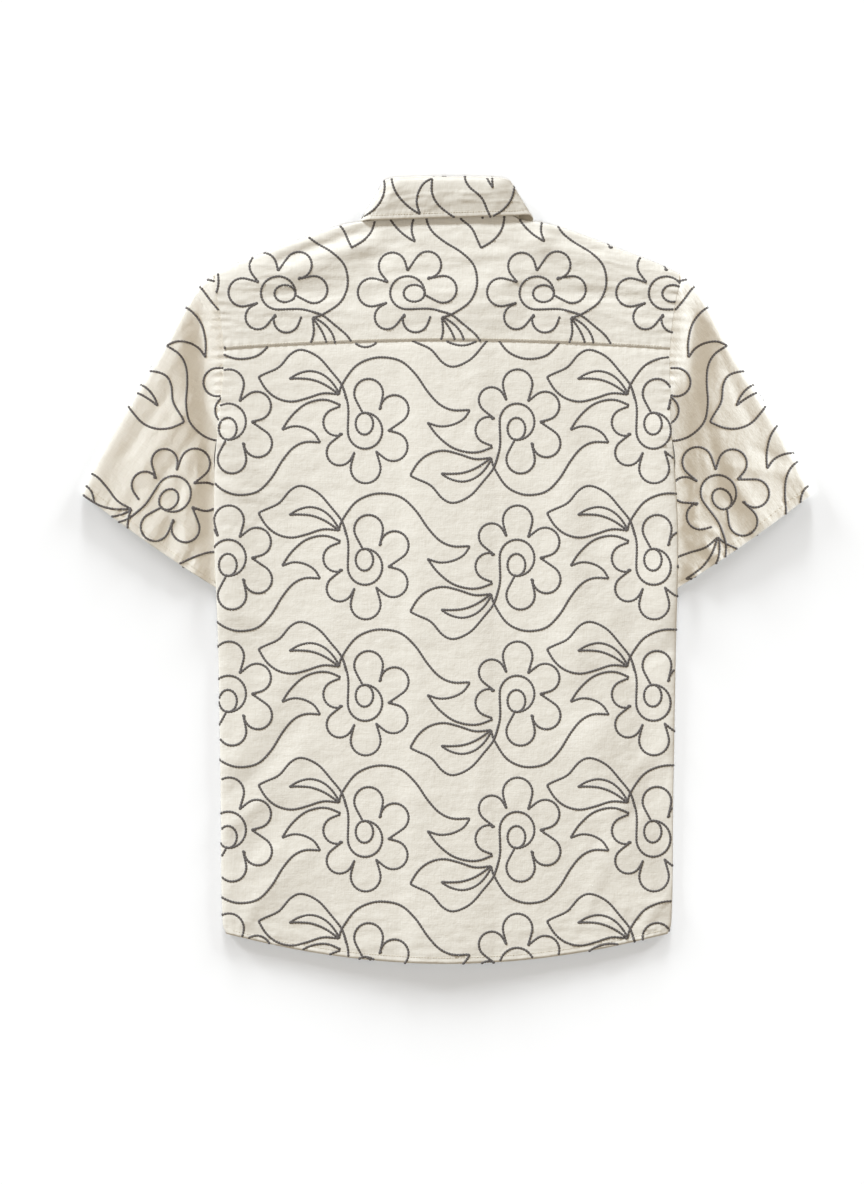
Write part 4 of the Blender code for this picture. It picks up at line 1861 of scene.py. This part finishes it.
@dataclass
class Buttons:
    """Seven four-hole buttons with a raised rim, each sewn on with crossed thread."""

    material: bpy.types.Material
    thread: bpy.types.Material
    radius: float = 5.7
    thickness: float = 2.2
    hole: float = 0.9
    spread: float = 1.5
    rim: float = 1.1
    sides: int = 48
    hole_sides: int = 14
    underside: float = 0.5  # the disc is this far inside the rim
    thread_size: tuple[float, float, float] = (4.5, 0.8, 0.7)
    thread_middle: float = 0.45

    def blank(self) -> bmesh.types.BMesh:
        """Makes a disc with four holes and a rounded edge, face down.

        Returns:
            The disc.
        """
        disc = bmesh.new()
        bmesh.ops.create_circle(disc, segments=self.sides, radius=self.radius)
        for quarter in range(4):
            angle = math.pi / 4 + quarter * math.pi / 2
            centre = Vector((math.cos(angle), math.sin(angle), 0)) * self.spread * math.sqrt(2)
            made = bmesh.ops.create_circle(disc, segments=self.hole_sides, radius=self.hole)
            bmesh.ops.translate(disc, verts=made["verts"], vec=centre)
        bmesh.ops.triangle_fill(disc, use_beauty=True, edges=disc.edges[:], normal=(0, 0, 1))
        raised = bmesh.ops.extrude_face_region(disc, geom=disc.faces[:])
        corners = [item for item in raised["geom"] if isinstance(item, bmesh.types.BMVert)]
        bmesh.ops.translate(disc, verts=corners, vec=(0, 0, self.thickness - self.underside))
        bmesh.ops.translate(disc, verts=disc.verts, vec=(0, 0, self.underside))
        bmesh.ops.recalc_face_normals(disc, faces=disc.faces[:])
        self.add_rim(disc)
        return disc

    def add_rim(self, disc: bmesh.types.BMesh) -> None:
        """Adds the rolled rim, by spinning its round section.

        Args:
            disc: The button without its rim.
        """
        made = bmesh.ops.create_circle(disc, segments=12, radius=self.rim)
        bmesh.ops.rotate(disc, verts=made["verts"], matrix=Matrix.Rotation(math.pi / 2, 3, "X"))
        bmesh.ops.translate(disc, verts=made["verts"], vec=(self.radius - self.rim, 0, self.rim))
        ring = list({edge for vert in made["verts"] for edge in vert.link_edges})
        bmesh.ops.spin(
            disc,
            geom=made["verts"] + ring,
            cent=(0, 0, 0),
            axis=(0, 0, 1),
            angle=2 * math.pi,
            steps=self.sides,
            use_merge=True,
        )

    def build(self) -> None:
        """Builds the seven buttons and their threads."""
        for number in range(1, 8):
            low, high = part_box(f"button_{number}")
            centre = Vector(((low[0] + high[0]) / 2, (low[1] + high[1]) / 2, low[2]))
            disc = self.blank()
            bmesh.ops.scale(disc, vec=(MM, MM, MM), verts=disc.verts)
            bmesh.ops.translate(disc, verts=disc.verts, vec=centre)
            name = f"button_{number}_resin"
            piece = finish_piece(name, mesh_of(name, disc), self.material)
            piece.data.shade_flat()
            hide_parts(f"button_{number}")
            self.sew_on(number, centre)

    def sew_on(self, number: int, centre: Vector) -> None:
        """Adds the two crossed threads of one button.

        Args:
            number: Which button.
            centre: Where it is, in metres.
        """
        cross = bmesh.new()
        for turn in (math.pi / 4, 3 * math.pi / 4):
            made = bmesh.ops.create_uvsphere(cross, u_segments=8, v_segments=8, radius=0.5)
            size = Matrix.Diagonal((*self.thread_size, 1))
            bmesh.ops.transform(cross, matrix=Matrix.Rotation(turn, 4, "Z") @ size, verts=made["verts"])
        bmesh.ops.translate(cross, verts=cross.verts, vec=(0, 0, self.thread_middle))
        bmesh.ops.scale(cross, vec=(MM, MM, MM), verts=cross.verts)
        bmesh.ops.translate(cross, verts=cross.verts, vec=centre)
        name = f"button_{number}_thread"
        finish_piece(name, mesh_of(name, cross), self.thread)


class Sun(NamedTuple):
    """Even light: its direction and breadth in degrees, its share of the light, its blueness."""

    name: str
    azimuth: float
    elevation: float
    breadth: float
    share: float
    cool: float = 0.09


@dataclass
class Studio:
    """White surface, soft light from above the collar, and a long lens looking straight down."""

    paper: bpy.types.Material
    photo_width: int = 864
    photo_height: int = 1184
    mm_per_pixel: float = 1.05
    centre_pixel: tuple[float, float] = (447.0, 963.0)  # where the middle of the hem is seen
    camera_height: float = 3.4
    sky: float = 0.38
    sky_tint: tuple[float, float, float] = (1.13, 1.0, 0.82)  # light off a warm ceiling
    strip: float = 1.1  # watts
    strip_tint: tuple[float, float, float] = (0.91, 1.0, 1.12)
    strip_place: tuple[float, float, float] = (0.0, 0.22, 0.8)  # metres
    strip_size: tuple[float, float] = (0.16, 0.8)
    surface_half: float = 30.0  # metres, so that it fills low views too
    surface_height: float = -0.6
    surface_suns: tuple[Sun, ...] = (
        Sun("shadow_long", 90, 6.3, 12, 0.14, 0.03),
        Sun("shadow_long_left", 45, 6.4, 14, 0.15, 0.03),
        Sun("shadow_long_right", 135, 6.4, 14, 0.15, 0.03),
        Sun("shadow_short", 90, 17, 18, 0.08, 0.03),
        Sun("surface_fill", 270, 70, 20, 0.25, 0.14),
    )
    cloth_suns: tuple[tuple[str, Sun], ...] = (
        ("body", Sun("body_light", 122, 24, 13, 0.5)),
        ("collar", Sun("collar_light", 130, 24, 14, 0.52)),
        ("sleeve_left", Sun("left_sleeve_low_light", 150, 13, 12, 0.32, 0.13)),
        ("sleeve_right", Sun("right_sleeve_low_light", 25, 11.5, 11, 0.36, 0.13)),
        ("sleeve", Sun("sleeves_top_light", 90, 50, 30, 0.24, -0.03)),
    )

    def floor(self) -> bpy.types.Object:
        """Lays the white surface.

        Returns:
            The surface.
        """
        grid = bmesh.new()
        bmesh.ops.create_grid(grid, x_segments=1, y_segments=1, size=self.surface_half)
        bmesh.ops.translate(grid, verts=grid.verts, vec=(0, 0, self.surface_height * MM))
        surface = add_object("surface", mesh_of("surface", grid))
        surface.data.materials.append(self.paper)
        return surface

    def lamp(
        self, name: str, place: Vector, aim: Vector, size: tuple[float, float], watts: float
    ) -> bpy.types.Object:
        """Hangs a soft box.

        Args:
            name: The lamp's name.
            place: Where it hangs.
            aim: What it points at.
            size: Its width and height in metres.
            watts: Its power.

        Returns:
            The lamp.
        """
        light = bpy.data.lights.new(name, "AREA")
        light.shape = "RECTANGLE"
        light.size, light.size_y = size
        light.color = self.strip_tint
        light.energy = watts
        lamp = add_object(name, light)
        lamp.location = place
        lamp.rotation_euler = (aim - place).to_track_quat("-Z", "Y").to_euler()
        return lamp

    def sun(self, sun: Sun, receivers: bpy.types.Collection) -> None:
        """Adds soft even light that reaches only some of the scene.

        Args:
            sun: Where it comes from, its strength and its colour.
            receivers: What it lights.
        """
        light = bpy.data.lights.new(sun.name, "SUN")
        light.angle = math.radians(sun.breadth)
        light.color = (1 - sun.cool, 1, 1 + 1.25 * sun.cool)
        light.energy = sun.share * math.pi / math.sin(math.radians(sun.elevation))
        lamp = add_object(sun.name, light)
        lamp.rotation_euler = (0, math.radians(90 - sun.elevation), math.radians(sun.azimuth))
        lamp.light_linking.receiver_collection = receivers

    def light(self, surface: bpy.types.Object) -> None:
        """Sets the sky, the lamps that shape the cloth and the low ones that throw its shadow.

        Args:
            surface: What the shadow falls on.
        """
        world = bpy.data.worlds.new("studio")
        world.use_nodes = True
        sky = world.node_tree.nodes["Background"]
        sky.inputs["Color"].default_value = (*self.sky_tint, 1)
        sky.inputs["Strength"].default_value = self.sky
        bpy.context.scene.world = world
        place = Vector(self.strip_place)
        below = Vector((place.x, place.y, 0))
        strip = self.lamp("strip_light", place, below, self.strip_size, self.strip)
        strip.light_linking.receiver_collection = self.receivers("body")
        for part, sun in self.cloth_suns:
            self.sun(sun, self.receivers(part))
        surface_only = bpy.data.collections.new("surface_only")
        surface_only.objects.link(surface)
        for sun in self.surface_suns:
            self.sun(sun, surface_only)

    def receivers(self, part: str) -> bpy.types.Collection:
        """Gathers the pieces that a lamp lights.

        Args:
            part: The collar, the sleeves or one of them, or the body, which is all the rest.

        Returns:
            The collection.
        """
        group = bpy.data.collections.new(f"{part}_only")
        others = ("collar", "sleeve_left", "sleeve_right")
        for piece in bpy.context.scene.objects:
            if piece.type != "MESH" or piece.name == "surface":
                continue
            if part in next((other for other in others if other in piece.name), "body"):
                group.objects.link(piece)
        return group

    def camera(self) -> None:
        """Hangs the camera over the shirt, framed as the photograph is."""
        lens = bpy.data.cameras.new("camera")
        view_height = self.photo_height * self.mm_per_pixel * MM
        lens.sensor_fit = "VERTICAL"
        lens.sensor_height = 36.0
        lens.lens = lens.sensor_height * self.camera_height / view_height
        camera = add_object("camera", lens)
        x = (self.photo_width / 2 - self.centre_pixel[0]) * self.mm_per_pixel * MM
        y = (self.centre_pixel[1] - self.photo_height / 2) * self.mm_per_pixel * MM + HEM_MIDDLE
        camera.location = (x, y, self.camera_height)
        bpy.context.scene.camera = camera

    def build(self) -> None:
        """Builds the studio round the finished shirt."""
        self.light(self.floor())
        self.camera()
        bpy.context.scene.view_settings.view_transform = "Standard"


def main() -> None:
    """Builds every part of the shirt, then the studio."""
    logging.basicConfig(level=logging.INFO, format="%(name)s: %(message)s")
    cotton = ClothMaker(SlubCotton().build())
    charcoal = SpunThread("charcoal_embroidery_thread", "5A5553", "716C69").build()
    cream = SpunThread("cream_sewing_thread", "E4DCCB", "D6CCB8").build()
    plan = LaidPlan()
    collar = Collar(cotton)
    cloths = Body(plan, collar, cotton).build()
    sleeves = Sleeves(plan, cotton)
    cloths |= sleeves.build()
    cloths |= collar.build()
    Embroidery(charcoal, 3.75, 3.0, 0.9, 3.0, FlowerMotif()).build(cloths)
    Topstitching(cream, 2.3, 0.7, 0.4, 2.9, plan, sleeves, collar).build(cloths)
    Buttons(CastPolyester().build(), cream).build()
    Studio(BackdropPaper().build()).build()


if __name__ == "__main__":
    main()
